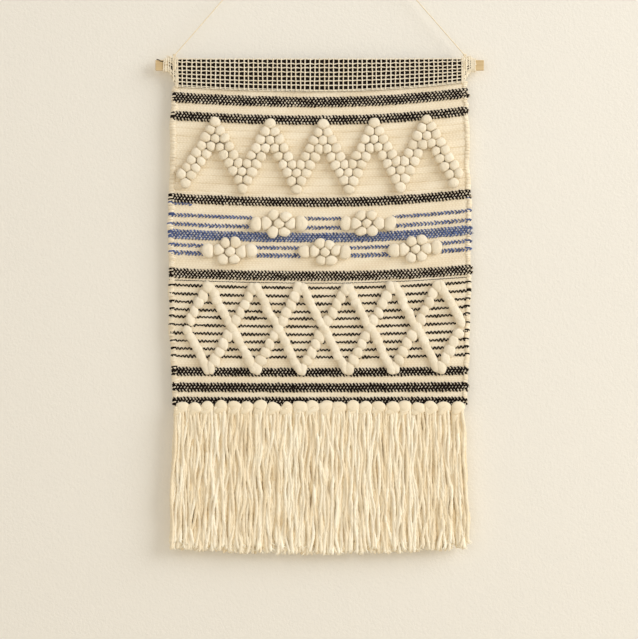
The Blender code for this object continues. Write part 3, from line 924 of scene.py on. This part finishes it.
def stitch_rows(skein, top, height, face=-1, bright=1.0):
    """Rows of slanting stitches (paint 0) over a dark bed, with a bright fleck (paint 1) beside each."""
    rows = round(height / STITCH_ROW)
    step = height / rows
    along = np.linspace(-0.5, 0.5, 6)
    arch = 1 - (2 * along) ** 2
    bed_drop = np.linspace(top + 0.0007, top + height - 0.0007, 5)
    bed_drop, bed_share = np.meshgrid(bed_drop, np.linspace(-1, 1, 221), indexing="ij")
    bed_x = bed_share * (half_width(bed_drop) - 0.0015)
    bed = [xyz(bed_x, face * depth, hung(bed_x, bed_drop))
           for depth in (SURFACE - 0.0012, SURFACE - 0.0002)]
    skein.slab(bed[1], bed[0], 0.1)
    for row in range(rows):
        drop = top + (row + 0.5) * step
        edge = half_width(drop) - 0.0012
        x = np.arange(-edge + STITCH_PITCH / 2, edge, STITCH_PITCH)
        x = x + uneven(0.00025, len(x)) + (row % 2) * STITCH_PITCH / 2
        way = 1 if row % 2 else -1
        outer = 1.0 if row in (0, rows - 1) else 0.82
        fleck = FLECK_RADIUS * bright * outer
        for paint, wide, tall, thick in ((0, 0.62, 1.28, STITCH_RADIUS), (1, 0.24, 0.50, fleck)):
            centre = x + paint * STITCH_PITCH / 2 + uneven(0.00015, len(x))
            turn = way * (1 + uneven(0.15, len(x), 1))
            sink = uneven(0.0002, len(x), 1)
            px = centre[:, None] + turn * along[None] * wide * STITCH_PITCH
            pd = drop - along[None] * tall * step + uneven(0.0003, len(x), 1)
            lift = SURFACE + 0.0004 * paint - 0.0008 * (1 - arch[None]) + sink
            paths = xyz(px, face * lift, hung(px, pd))
            girth = thick * (0.66 + 0.34 * arch) * (1 + uneven(0.12, len(x), 1))
            # The flecks show more in some places than in others, as the beat of the batten varies.
            slow = np.sin(x * 57 + row * 1.1 + top * 900) + np.sin(x * 139 - row * 0.8 + top * 1700)
            girth = girth * (1 + 0.16 * paint * slow[:, None])
            skein.sweep(paths, girth, rng.uniform(0, 1, len(x)), 6, paint=paint)


for number in range(1, 8):
    name = f"black_band_{number}"
    band = Skein()
    bright = 1.10 if number < 5 else 0.78
    stitch_rows(band, TOP_OF[name] + 0.0002, HEIGHT_OF[name] - 0.0004, bright=bright)
    stitch_rows(band, TOP_OF[name] + 0.0002, HEIGHT_OF[name] - 0.0004, face=1)
    blend = BEND if TOP_OF[name] < 0.03 else None
    hang(f"stitched_{name}", band, [BLACK, FLECK], [name], body="panel", blend=blend)

# %% [markdown]
# The blue ground has one wide band, four narrow lines and the short end of a fifth. The narrow ones stop
# where a cluster of bobbles takes their place in the row, and begin again after it. Behind, each runs right
# across as one yarn.

# %% Blue band and lines
CLUSTERS = ((-0.0615, 0.0265), (0.0712, 0.0265), (-0.1343, 0.0690), (0.0075, 0.0690), (0.1440, 0.0690))
CLUSTER_HALF = 0.0375
CLUSTER_REACH = 0.013
LINE_PITCH = 0.0052
BLUE_TOP = TOP_OF["blue_ground"]
BLUE_BAND_TOP = BLUE_TOP + 0.0404
BLUE_BAND_TALL = 0.0132
BLUE_LINES = ((0.0185, 0.0046), (0.0320, 0.0052), (0.0627, 0.0048), (0.0743, 0.0058))
blue = Skein()
stitch_rows(blue, BLUE_BAND_TOP, BLUE_BAND_TALL, bright=1.25)
stitch_rows(blue, BLUE_BAND_TOP, BLUE_BAND_TALL, face=1)
hang("stitched_blue_band", blue, [BLUE, PALE_FLECK], ["blue_band"], body="panel")


def open_runs(line_drop):
    """The stretches across the cloth where a line isn't stopped by a cluster."""
    near = sorted(x for x, drop in CLUSTERS if abs(drop - line_drop) < CLUSTER_REACH)
    edge = float(half_width(BLUE_TOP + line_drop)) - 0.0015
    low = -edge
    runs = []
    for x in near:
        runs.append((low, x - CLUSTER_HALF))
        low = x + CLUSTER_HALF
    runs.append((low, edge))
    return runs


def zigzag_yarn(skein, left, right, drop, reach, radius, pitch=0.0043, phase=0.0, front=-0.0022):
    """One yarn that steps up and down between the warps, this far either way."""
    x = np.arange(left, right, pitch / 6)
    slow = drifting(x, 0.4, 9)
    phase = 2 * math.pi * x / pitch + phase + slow
    zigzag = np.arcsin(0.93 * np.sin(phase)) / 1.2
    drift = drifting(x, 0.00022, 12)
    swing = reach * (1 + 0.25 * drifting(x, 0.5, 30, 8))
    z = hung(x, drop + drift) + swing * zigzag
    y = front * (0.86 + 0.38 * np.cos(2 * phase))
    thick = radius * (1 + 0.28 * np.cos(2 * phase + 0.8) + uneven(0.12, len(x)))
    thick = np.clip(thick, 0.5 * radius, 1.5 * radius)
    skein.sweep(xyz(x, y, z), thick, 0.5 + 0.3 * np.sin(phase * 0.31)[None], 6)


def slanting_line(skein, left, right, drop, height, radius=0.00092):
    """Two rows of slanting stitches straight on the cream cloth, one leaning each way."""
    step = height / 2
    along = np.linspace(-0.5, 0.5, 6)
    for row in (0, 1):
        x = np.arange(left + LINE_PITCH / 2, right, LINE_PITCH) + row * 0.3 * LINE_PITCH
        n = len(x)
        px = x[:, None] + uneven(0.0003, n, 1)
        px = px + (2 * row - 1) * along * LINE_PITCH * 0.62 * (1 + uneven(0.15, n, 1))
        pd = drop + (row - 0.5) * step - along * step * 1.12 + uneven(0.0003, n, 1)
        lift = SURFACE - 0.0011 * (2 * along) ** 2 + uneven(0.0001, n, 1)
        girth = radius * (0.72 + 0.28 * (1 - (2 * along) ** 2)) * (1 + uneven(0.14, n, 1))
        paths = xyz(px, -lift, hung(px, pd))
        skein.sweep(paths, girth, rng.uniform(0, 1, n), 6)


lines = Skein()
for drop, height in BLUE_LINES:
    for left, right in open_runs(drop):
        thick = 0.00118 if height > 0.0055 else 0.00104
        slanting_line(lines, left, right, BLUE_TOP + drop, height, radius=thick)
    edge = float(half_width(BLUE_TOP + drop)) - 0.0015
    zigzag_yarn(lines, -edge, edge, BLUE_TOP + drop, height / 2, 0.0009, 0.0047, 0.0, 0.0022)
short = float(half_width(BLUE_TOP))
slanting_line(lines, -short + 0.002, -short + 0.034, BLUE_TOP + 0.0016, 0.0034)
hang("blue_lines", lines, [BLUE], body="panel")

# %% [markdown]
# ## Thin black lines behind the lattice
#
# Ten fine lines of black yarn run right across behind the lattice. Each is one yarn that steps up and down
# between the warps, so it reads as a small zigzag. The same function lays them, front and back.

# %% Pinstripes
pin = Skein()
LATTICE_GROUND = TOP_OF["lattice_ground"]
FAINT_DROP = 0.0039
PIN_DROPS = (0.0112, 0.0236, 0.0353, 0.0470, 0.0575, 0.0695, 0.0815, 0.0930, 0.1045, 0.1155)
for drop in PIN_DROPS:
    edge = float(half_width(LATTICE_GROUND + drop)) - 0.001
    start = rng.uniform(0, 6)
    zigzag_yarn(pin, -edge, edge, LATTICE_GROUND + drop, 0.00210, 0.00090, 0.0056, start)
    zigzag_yarn(pin, -edge, edge, LATTICE_GROUND + drop, 0.0012, 0.0008, 0.0058, start, 0.0021)
edge = float(half_width(LATTICE_GROUND)) - 0.001
zigzag_yarn(pin, -edge, edge, LATTICE_GROUND + FAINT_DROP, 0.0003, 0.00042, 0.0058)
hang("black_pinstripes", pin, [BLACK], body="panel")

# %% [markdown]
# ## The rolled edges
#
# At each side the weft turns round the last warps and goes back, which packs the edge into a firm roll.
# Every turn can be seen, in the colour of its row: so each is a small loop of yarn round the roll, and the
# loops beside a dark band are dark.

# %% Rolled edges
BAND_RANGES = [(TOP_OF[n], TOP_OF[n] + HEIGHT_OF[n]) for n, _ in STRETCHES if n.startswith("black")]
BLUE_DROPS = [BLUE_TOP + drop for drop in (0.0012, *(drop for drop, _ in BLUE_LINES))]
BLACK_DROPS = [LATTICE_GROUND + drop for drop in PIN_DROPS]


def edge_paint(drop, turn):
    """0 for a cream turn, 1 for black, 2 for blue."""
    for top, bottom in BAND_RANGES:
        if top <= drop <= bottom:
            return 1 if turn % 5 in (0, 1, 3) else 0
    if BLUE_BAND_TOP <= drop <= BLUE_BAND_TOP + BLUE_BAND_TALL:
        return 2 if turn % 3 else 0
    if min(abs(drop - line) for line in BLUE_DROPS) < 0.0012:
        return 2
    return 1 if min(abs(drop - line) for line in BLACK_DROPS) < 0.0011 else 0


ROLL_STEP = 0.00215
ROLL_PARTS = ((0.0006, 0.034, BEND), (0.034, CLOTH_LENGTH - 0.0004, None))
for side, word in ((-1, "left"), (1, "right")):
    for part, (start, end, blend) in enumerate(ROLL_PARTS, 1):
        roll = Skein()
        drops = np.arange(start, end, ROLL_STEP)
        drops = drops + uneven(0.0002, len(drops))
        wide = (0.0078 if side < 0 else 0.0060) * (1 + uneven(0.10, len(drops), 1))
        turn = np.linspace(-0.80 * math.pi, 0.80 * math.pi, 19)
        outer = side * (half_width(drops) - 0.0004 + 0.0009 * drifting(drops, 1, 12, 3))
        x = outer[:, None] - side * wide * (1 - np.cos(turn[None] * 0.62)) / (1 - math.cos(0.5 * math.pi))
        lean = 0.0014 * np.sin(turn / 1.6)
        y = 0.0026 * np.sin(turn * 0.62)[None] * np.ones_like(x)
        y = y - 0.0016 * np.sign(turn)[None] * np.clip((np.abs(turn)[None] - 0.62 * math.pi) / 0.5, 0, 1)
        d = drops[:, None] + lean[None]
        paths = xyz(x, y, hung(x, d))
        paint = np.array([edge_paint(v, i) for i, v in enumerate(drops)])
        thick = 0.00125 * (1 + uneven(0.12, len(drops), 1))
        roll.sweep(paths, thick, rng.uniform(0.3, 0.9, len(drops)), 6, ref=(0, 0, 1), paint=paint)
        name = f"rolled_edge_{word}_{part}"
        nodes = [f"rolled_edge_{word}"] if part == 2 else []
        hang(name, roll, [CREAM, BLACK, BLUE], nodes, body="panel", blend=blend)

# %% [markdown]
# ## Bobbles
#
# A bobble is a loop of thick, hardly spun roving pulled up between two warps. It has no hard edge
# anywhere: it is a pad a little wider than its place, so that it presses against its neighbours and leaves
# a fine dark crease between them. The zigzag is a brick pattern, two bobbles wide on each leg, which is
# worked out row by row. The clusters are nine bobbles each, bigger at the sides.

# %% Zigzag of bobbles
COLUMN = 0.01335
ROW = 0.0121
PAD = (0.0076, 0.0060, 0.0080)
PAD_Y = -0.0068
PEAK_DRIFT = (0.0033, 0.0057, 0.0051, 0.0015, 0.0009)
PEAKS = 5
FIRST_ROW = TOP_OF["zigzag_ground"] + 0.0005
VALLEY = 3
ROWS = 9
bobbles = Skein()
places = set()
for peak in range(PEAKS):
    middle = (peak - (PEAKS - 1) / 2) * 2 * VALLEY
    for row in range(ROWS):
        for side in (-1, 1):
            outer, inner = row / 2, max((row - 2) / 2, 0 if row % 2 == 0 else 0.5)
            for column in np.arange(inner, outer + 0.1, 1.0):
                at = middle + side * column
                reach = abs(column) <= VALLEY
                outermost = (peak == 0 and side < 0) or (peak == PEAKS - 1 and side > 0)
                if reach or (outermost and row < ROWS - 1):
                    places.add((round(float(at) * 2) / 2, row))
places = sorted(places, key=lambda p: (p[1], p[0]))
at = np.array(places)
drift_at = (np.arange(PEAKS) - (PEAKS - 1) / 2) * 2 * VALLEY
x = at[:, 0] * COLUMN + np.interp(at[:, 0], drift_at, PEAK_DRIFT) + uneven(0.0004, len(at))
drop = FIRST_ROW + at[:, 1] * ROW + uneven(0.0005, len(at))
# The first leg leans out a little more than the others, so its foot ends higher.
leaning = np.clip(at[:, 1] - 3, 0, None) * (at[:, 0] < drift_at[0])
x = x - leaning * 0.0008
drop = drop - leaning * 0.0009
y = PAD_Y + uneven(0.0005, len(at))
centres = xyz(x, y, hung(x, drop))
sizes = np.array(PAD) * (1 + uneven(0.045, len(at), 3))
pad_tilts = uneven(0.25, len(at))
pad_tones = rng.uniform(0.45, 0.95, len(at))
bobbles.pads(centres, sizes * (1.08, 0.94, 1.08), pad_tilts, pad_tones, square=0.52, crease=1.02)
zigzag_nodes = [f"bobble_zigzag_{n + 1}" for n in range(PEAKS)]
hang("zigzag_bobbles", bobbles, [ROVING], zigzag_nodes, body="panel")
print(len(at), "bobbles in the zigzag")

# %% [markdown]
# All five clusters are knotted to one plan of nine bobbles, turned over from one cluster to the next. The
# plan gives each bobble's place across and down, and half its width and height.

# %% Clusters of bobbles
PLACES = ((-0.0335, 0.0003, 0.0080, 0.0088), (-0.0180, 0.0003, 0.0086, 0.0090),
          (-0.0064, -0.0117, 0.0074, 0.0070), (0.0100, -0.0112, 0.0086, 0.0074),
          (0.0002, 0.0002, 0.0072, 0.0070), (0.0178, 0.0006, 0.0084, 0.0078),
          (0.0335, -0.0003, 0.0082, 0.0092), (-0.0078, 0.0112, 0.0078, 0.0080),
          (0.0084, 0.0114, 0.0074, 0.0072))
CLUSTER_WIDTHS = (1.0, 0.97, 0.95, 0.90, 0.97)
for number, (cluster_x, cluster_drop) in enumerate(CLUSTERS, 1):
    cluster = Skein()
    mirror = -1 if number in (2, 3) else 1
    flip = -1 if number in (3, 4) else 1
    place = np.array(PLACES) * (1, flip, 1, 1)
    n = len(place)
    x = cluster_x + mirror * place[:, 0] * CLUSTER_WIDTHS[number - 1] + uneven(0.0010, n)
    drop = BLUE_TOP + cluster_drop + place[:, 1] + uneven(0.0009, n)
    y = PAD_Y + 0.0010 + uneven(0.0004, n)
    centres = xyz(x, y, hung(x, drop))
    sizes = xyz(place[:, 2], 0.0056, place[:, 3])
    sizes = sizes * (1 + uneven(0.06, n, 3))
    tilts = rng.uniform(-1, 1, n)
    pad_tones = rng.uniform(0.45, 0.95, n)
    cluster.pads(centres, sizes * (1.20, 1, 1.20), tilts * 0.4, pad_tones, square=0.5, crease=1.02)
    nodes = [f"bobble_cluster_{number}"]
    hang(f"cluster_{number}_bobbles", cluster, [ROVING], nodes, body="panel")

# %% [markdown]
# ## The lattice
#
# Two sets of thick roving cross to make six diamonds. The one that falls to the right lies on top and
# looks like one thick rope. The other is worked in steps, one loop for each row, and reads as a chain of
# overlapping pads. The first is a sweep with low slanting swellings laid along it, the second a line of
# pads laid like scales.

# %% Lattice of roving
LATTICE_PITCH = 0.0692
LATTICE_SHIFT = 0.0066
LATTICE_TALL = 0.1305
LATTICE_TOP = LATTICE_GROUND + 0.0075
DIAMONDS = 6
ropes = Skein()
chains = Skein()
for strand in range(DIAMONDS + 1):
    # The strand falls from a top crossing to the bottom crossing one pitch to the right.
    start_x = LATTICE_SHIFT + (strand - DIAMONDS / 2 - 0.5) * LATTICE_PITCH
    low_share = 0.5 if strand == 0 else 0.0
    high_share = 0.5 if strand == DIAMONDS else 1.0
    share = np.linspace(low_share - 0.01, high_share + 0.012, int(90 * (high_share - low_share)))
    x = start_x + share * LATTICE_PITCH
    drop = LATTICE_TOP + share * LATTICE_TALL
    swell = 1 + 0.12 * np.abs(np.sin(math.pi * share * LATTICE_TALL / 0.0125 + strand)) - 0.06
    swell = swell * (1 + drifting(x, 0.04, 8, 3, 0.5))
    ends = np.clip(np.minimum(share - low_share + 0.02, high_share - share + 0.02) / 0.035, 0.12, 1) ** 0.5
    radius = 0.0070 * swell * ends
    cross = np.exp(-(((share - 0.5) / 0.055) ** 2))
    y = -0.0055 - 0.0010 * cross + 0.0015 * (1 - ends)
    drift = drifting(x, 0.0008, 6, 1, 0.6)
    paths = xyz(x + drift, y, hung(x, drop))
    tone = 0.55 + 0.12 * np.sin(share * 40 + strand)
    ropes.sweep(paths, 0.90 * radius, tone[None], 20, flat=0.66)
    n = round((high_share - low_share) * LATTICE_TALL / 0.0098)
    shares = low_share + (np.arange(n) + 0.5) / n * (high_share - low_share)
    lump_x = np.interp(shares, share, x + drift) + uneven(0.0005, n)
    lump_drop = LATTICE_TOP + shares * LATTICE_TALL + uneven(0.0005, n)
    centres = xyz(lump_x, np.interp(shares, share, y), hung(lump_x, lump_drop))
    sizes = np.array([0.0068, 0.0048, 0.0083]) * (1 + uneven(0.06, n, 3))
    leans = 0.48 + uneven(0.12, n)
    ropes.pads(centres, sizes, leans, rng.uniform(0.5, 0.95, n), square=0.75, lumps=0.04, packed=False)
for strand in range(DIAMONDS + 1):
    # The chain climbs from a bottom crossing to the top crossing one pitch to the right.
    start_x = LATTICE_SHIFT + (strand - DIAMONDS / 2 - 0.5) * LATTICE_PITCH
    steps = 11
    shares = (np.arange(steps) + 0.5) / steps
    if strand == 0:
        shares = shares[shares > 0.5]
    if strand == DIAMONDS:
        shares = shares[shares < 0.5]
    n = len(shares)
    x = start_x + shares * LATTICE_PITCH + uneven(0.0004, n)
    drop = LATTICE_TOP + (1 - shares) * LATTICE_TALL + uneven(0.0004, n)
    hidden = np.exp(-(((shares - 0.5) / 0.06) ** 2))
    y = -0.0054 + 0.0016 * hidden + uneven(0.0003, n)
    centres = xyz(x, y, hung(x, drop))
    sizes = np.array([0.0076, 0.0050, 0.0098]) * (1 + uneven(0.07, n, 3))
    tilts = 0.10 + uneven(0.15, n)
    pad_tones = rng.uniform(0.5, 0.95, n)
    chains.pads(centres, sizes, tilts, pad_tones, square=0.62, lumps=0.045, crease=1.28)
diamond_nodes = [f"lattice_diamond_{n + 1}" for n in range(DIAMONDS)]
hang("lattice_ropes", ropes, [ROVING], diamond_nodes, body="panel")
hang("lattice_chains", chains, [ROVING], body="panel")

# %% [markdown]
# ## The fringe
#
# Each tassel is a bundle of strands folded in half over the lower edge and pulled through its own loop.
# The fold shows as a round head in front of the last band, and the strands fan out from under it. They
# hang by their weight, each with slow waves of its own left by the skein it was wound in, and they are cut
# by hand, so no two end at the same height. A strand is three plies, which a section with three lobes that
# turns along it shows well at this size.

# %% Fringe
TASSELS = 22
PITCH = 0.01975
HEAD_TOP = fringe_high.z
HEAD_TALL = 0.0150
FRINGE_END = fringe_low.z
FRONT = fringe_low.y
LAYERS = 3
LAYER_DEPTH = 0.0021
STRANDS = 5
STRAND_GAP = 0.0042
STRAND_RADIUS = 0.0026
BACK_RADIUS = 0.0037
STRAND_TWIST = 260.0
POINTS = 96
along = np.linspace(0, 1, POINTS)


def strand_layer(skein, middle, side_share, layer):
    """One layer of strands of a tassel: 0 in front, higher numbers further back."""
    back = layer == LAYERS - 1
    place = (np.arange(STRANDS) - (STRANDS - 1) / 2 + (layer % 2 - 0.5) / 2) * STRAND_GAP
    place = place + uneven(0.0002 if back else 0.0008, STRANDS)
    near = place * 0.78
    fan = 1 - np.exp(-along * 7)
    lean = uneven(0.0008 if back else 0.0032, STRANDS, 1) + 0.0058 * side_share
    x = middle + near[:, None] * (1 - fan) + place[:, None] * fan + lean * along[None] ** 1.4
    calm = np.clip(along * 9, 0, 1) * (1 + 0.3 * along)
    sway = wobble((STRANDS, POINTS), 0.0017, 3, 1, 0.6) + wobble((STRANDS, POINTS), 0.00012, 4, 5, 0.5)
    x = x + sway * calm * (0.35 if back else 1)
    loose = np.clip((along - 0.80) / 0.20, 0, 1) ** 2
    x = x + uneven(0.0026, STRANDS, 1) * loose[None]
    y = FRONT + 0.0034 + layer * LAYER_DEPTH + wobble((STRANDS, POINTS), 0.0007, 5, 2, 0.6) * calm
    start = HEAD_TOP - HEAD_TALL * 0.45
    short = rng.uniform(0, 1, (STRANDS, 1)) ** 1.6 * 0.014 + 0.0085 * side_share ** 2
    end = FRINGE_END - 0.0040 + short
    z = start + (end - start) * along[None]
    thin = (BACK_RADIUS if back else STRAND_RADIUS) * (1 + uneven(0.07, STRANDS, 1))
    thin = thin * (1 + wobble((STRANDS, POINTS), 0.035, 8, 3, 0.5))
    tip = np.clip((1 - along) / 0.02, 0.2, 1) ** 0.5 * (1 + 0.10 * loose)
    # Deeper layers are painted darker, as painted shade between the strands, and the loose ends lighter, as
    # painted light that lifts the shade under them.
    tone = rng.uniform(0.30, 1.0, (STRANDS, 1)) - 0.16 * layer + 0.25 * loose[None]
    paths = xyz(x, y, z)
    skein.sweep(paths, thin * tip[None], tone, 12, lobes=3, lobe=0.10, twist=STRAND_TWIST)
    # The cut end opens into finer yarns, painted lighter than the strands as painted light that lifts the
    # shade at the ends.
    fray = np.linspace(0, 1, 6)[None, :, None]
    heading = unit(paths[:, -1] - paths[:, -6])[:, None]
    for ply in range(5):
        spread = rng.normal(size=(STRANDS, 1, 3)) * (0.0030, 0.0012, 0.0006)
        reach = rng.uniform(0.0035, 0.0065, (STRANDS, 1, 1))
        root = paths[:, -4][:, None] + uneven(0.0006, STRANDS, 1, 3)
        plies = root + heading * reach * fray + spread * fray ** 1.6
        skein.sweep(plies, 0.00095 * (1 - 0.5 * fray[..., 0]), rng.uniform(1.0, 1.5, STRANDS), 5)


for number in range(1, TASSELS + 1):
    tassel = Skein()
    side_share = 2 * (number - 1) / (TASSELS - 1) - 1
    middle = (number - (TASSELS + 1) / 2) * PITCH + uneven(0.0004) - 0.0006
    for layer in range(LAYERS):
        strand_layer(tassel, middle, side_share, layer)
    # The head: the fold, plump and leaning to the right, and the two wraps of the loop that hold it.
    loop = np.linspace(-1, 1, 21)
    heads = np.array([[middle + 0.0010, FRONT + 0.0052, HEAD_TOP - 0.0070 + uneven(0.0006)],
                      [middle - 0.0016, FRONT + 0.0042, HEAD_TOP - 0.0138 + uneven(0.0005)]])
    sizes = np.array([[0.0108, 0.0050, 0.0088], [0.0094, 0.0042, 0.0050]]) * (1 + uneven(0.05, 2, 3))
    leans = np.array([-0.30, 0.42]) + uneven(0.10, 2)
    tassel.pads(heads, sizes, leans, (0.62, 0.50), rings=13, lumps=0.05, packed=False)
    for fold, width in ((0.2, 0.0050), (0.75, 0.0074)):
        wrap_x = middle + 0.0004 + loop * width
        wrap_y = FRONT + 0.0050 - 0.0036 * np.sqrt(np.clip(1 - loop ** 2, 0, 1))
        wrap_z = HEAD_TOP - 0.0052 - 0.0096 * fold + 0.0030 * loop + uneven(0.0006)
        wrap = xyz(wrap_x, wrap_y, wrap_z)
        tassel.sweep(wrap, 0.0017, rng.uniform(0.4, 0.8), 8, lobes=3, lobe=0.08, twist=STRAND_TWIST)
    back_y = FRONT + 0.0126 - 0.0024 * np.abs(loop) ** 3
    back = xyz(middle + loop * 0.0088, back_y, HEAD_TOP - 0.0078)
    tassel.sweep(back, 0.0030, 0.6, 10, lobes=3, lobe=0.05, twist=STRAND_TWIST)
    name = f"tassel_{number:02d}"
    hang(f"{name}_strands", tassel, [STRAND], [name], body="fringe")

# %% [markdown]
# ## What is cloth
#
# Each stretch of the ground cloth is listed with its mean width and its length, and with the number of
# pieces worked into it or knotted to it: its bands, lines, bobbles, edges and tassels.

# %% Stretches of cloth
WORKED_IN = (
    ("stitched_black_band_1", "stitched_black_band_2", "rolled_edge_left_1", "rolled_edge_right_1"),
    ("zigzag_bobbles", "stitched_black_band_3", "rolled_edge_left_2", "rolled_edge_right_2"),
    ("blue_lines", "stitched_blue_band", "cluster_", "stitched_black_band_4"),
    ("black_pinstripes", "lattice_", "stitched_black_band_5"),
    ("stitched_black_band_6", "stitched_black_band_7", "tassel_"),
)
for number, (top, bottom, names) in enumerate(zip(cuts, cuts[1:], WORKED_IN), 1):
    ground = bpy.data.objects[f"ground_cloth_{number}"]
    mean = 2 * float(half_width((top + bottom) / 2))
    worked = [made_pieces[n] for n in made_pieces if n.startswith(names)]
    bottom - top
    print(ground.name, round(mean, 4), "by", round(bottom - top, 4), "metres, with", len(worked), "pieces")

# %% [markdown]
# ## Wall, floor and light
#
# The hanging needs a wall close behind it: half of its look is the soft shadow that the relief and the
# fringe throw. The wall is plaster, pale and warm, with a very faint roughness. It is seen from the front
# only, so that from behind it doesn't hide the cloth's back.


# %% Wall and floor
def plaster(name, colour, see_through_back):
    material, tree, shader = new_material(name)
    place = stretched(tree, (1, 1, 1))
    grit = noise(place, 260.0, 5.0, 0.6)
    cloudy = noise(place, 2.2, 2.0, 0.5)
    share = grit * 0.35 + cloudy * 0.65
    darker = tuple(0.955 * c for c in colour)
    base = mixed(share, (*darker, 1), (*colour, 1))
    tree.links.new(base.socket, shader.inputs["Base Color"])
    shader.inputs["Roughness"].default_value = 0.95
    shader.inputs["Specular IOR Level"].default_value = 0.1
    bump = grit.node("ShaderNodeBump", None, {"Strength": 0.6, "Distance": 0.0010, "Height": grit})
    tree.links.new(bump.socket, shader.inputs["Normal"])
    if see_through_back:
        behind = grit.node("ShaderNodeNewGeometry", out=6)
        clear = grit.node("ShaderNodeBsdfTransparent")
        surface = grit.node("ShaderNodeMixShader", None, {0: behind, 2: clear})
        tree.links.new(shader.outputs[0], surface.socket.node.inputs[1])
        tree.links.new(surface.socket, tree.nodes["Material Output"].inputs["Surface"])
    return material


def stage_plane(name, corners, material):
    data = bpy.data.meshes.new(name)
    data.from_pydata(corners, [], [(0, 1, 2, 3)])
    data.materials.append(material)
    made = bpy.data.objects.new(name, data)
    bpy.context.scene.collection.objects.link(made)
    return made


WALL_Y = 0.0140
FLOOR_Z = -1.42
WALL_HALF = 3.0
WALL_TOP = 2.2
FLOOR_REACH = 14.0
wall_corners = [(-WALL_HALF, WALL_Y, FLOOR_Z), (WALL_HALF, WALL_Y, FLOOR_Z),
                (WALL_HALF, WALL_Y, WALL_TOP), (-WALL_HALF, WALL_Y, WALL_TOP)]
wall = stage_plane("wall", wall_corners, plaster("wall_plaster", linear(240, 236, 226), True))
# Seen from behind, the wall is clear, so it lets the light reach the cloth's back as well.
wall.visible_shadow = False
floor_corners = [(-FLOOR_REACH, -FLOOR_REACH, FLOOR_Z), (FLOOR_REACH, -FLOOR_REACH, FLOOR_Z),
                 (FLOOR_REACH, FLOOR_REACH, FLOOR_Z), (-FLOOR_REACH, FLOOR_REACH, FLOOR_Z)]
stage_plane("floor", floor_corners, plaster("floor_pale", linear(214, 207, 194), False))


# %% [markdown]
# The large source stands far to the right and a little above, so that it grazes the relief and throws a
# wide soft shadow to the left. A weak one fills in from the left, and one behind lights the cloth's back.


# %% Light
def soft_light(name, place, target, size, power, colour):
    data = bpy.data.lights.new(name, "AREA")
    data.shape = "DISK"
    data.size = size
    data.energy = power
    data.color = colour
    light = bpy.data.objects.new(name, data)
    light.location = place
    light.rotation_euler = (Vector(target) - Vector(place)).to_track_quat("-Z", "Y").to_euler()
    bpy.context.scene.collection.objects.link(light)


MIDDLE = (0, 0, -0.6)
soft_light("key", (4.0, -2.3, 1.3), MIDDLE, 3.8, 178.0, (0.965, 0.98, 1.0))
soft_light("fill", (-1.2, -2.8, -0.2), MIDDLE, 2.4, 16.0, (1.0, 0.95, 0.88))
soft_light("behind", (0.8, 2.4, 0.2), MIDDLE, 1.6, 30.0, (1.0, 0.98, 0.95))
world = bpy.data.worlds.new("soft_room")
bpy.context.scene.world = world
world.use_nodes = True
world.node_tree.nodes["Background"].inputs["Color"].default_value = (1.0, 0.96, 0.91, 1)
world.node_tree.nodes["Background"].inputs["Strength"].default_value = 0.53
bpy.context.scene.view_settings.view_transform = "Standard"
bpy.context.scene.view_settings.look = "None"
print("lights on")
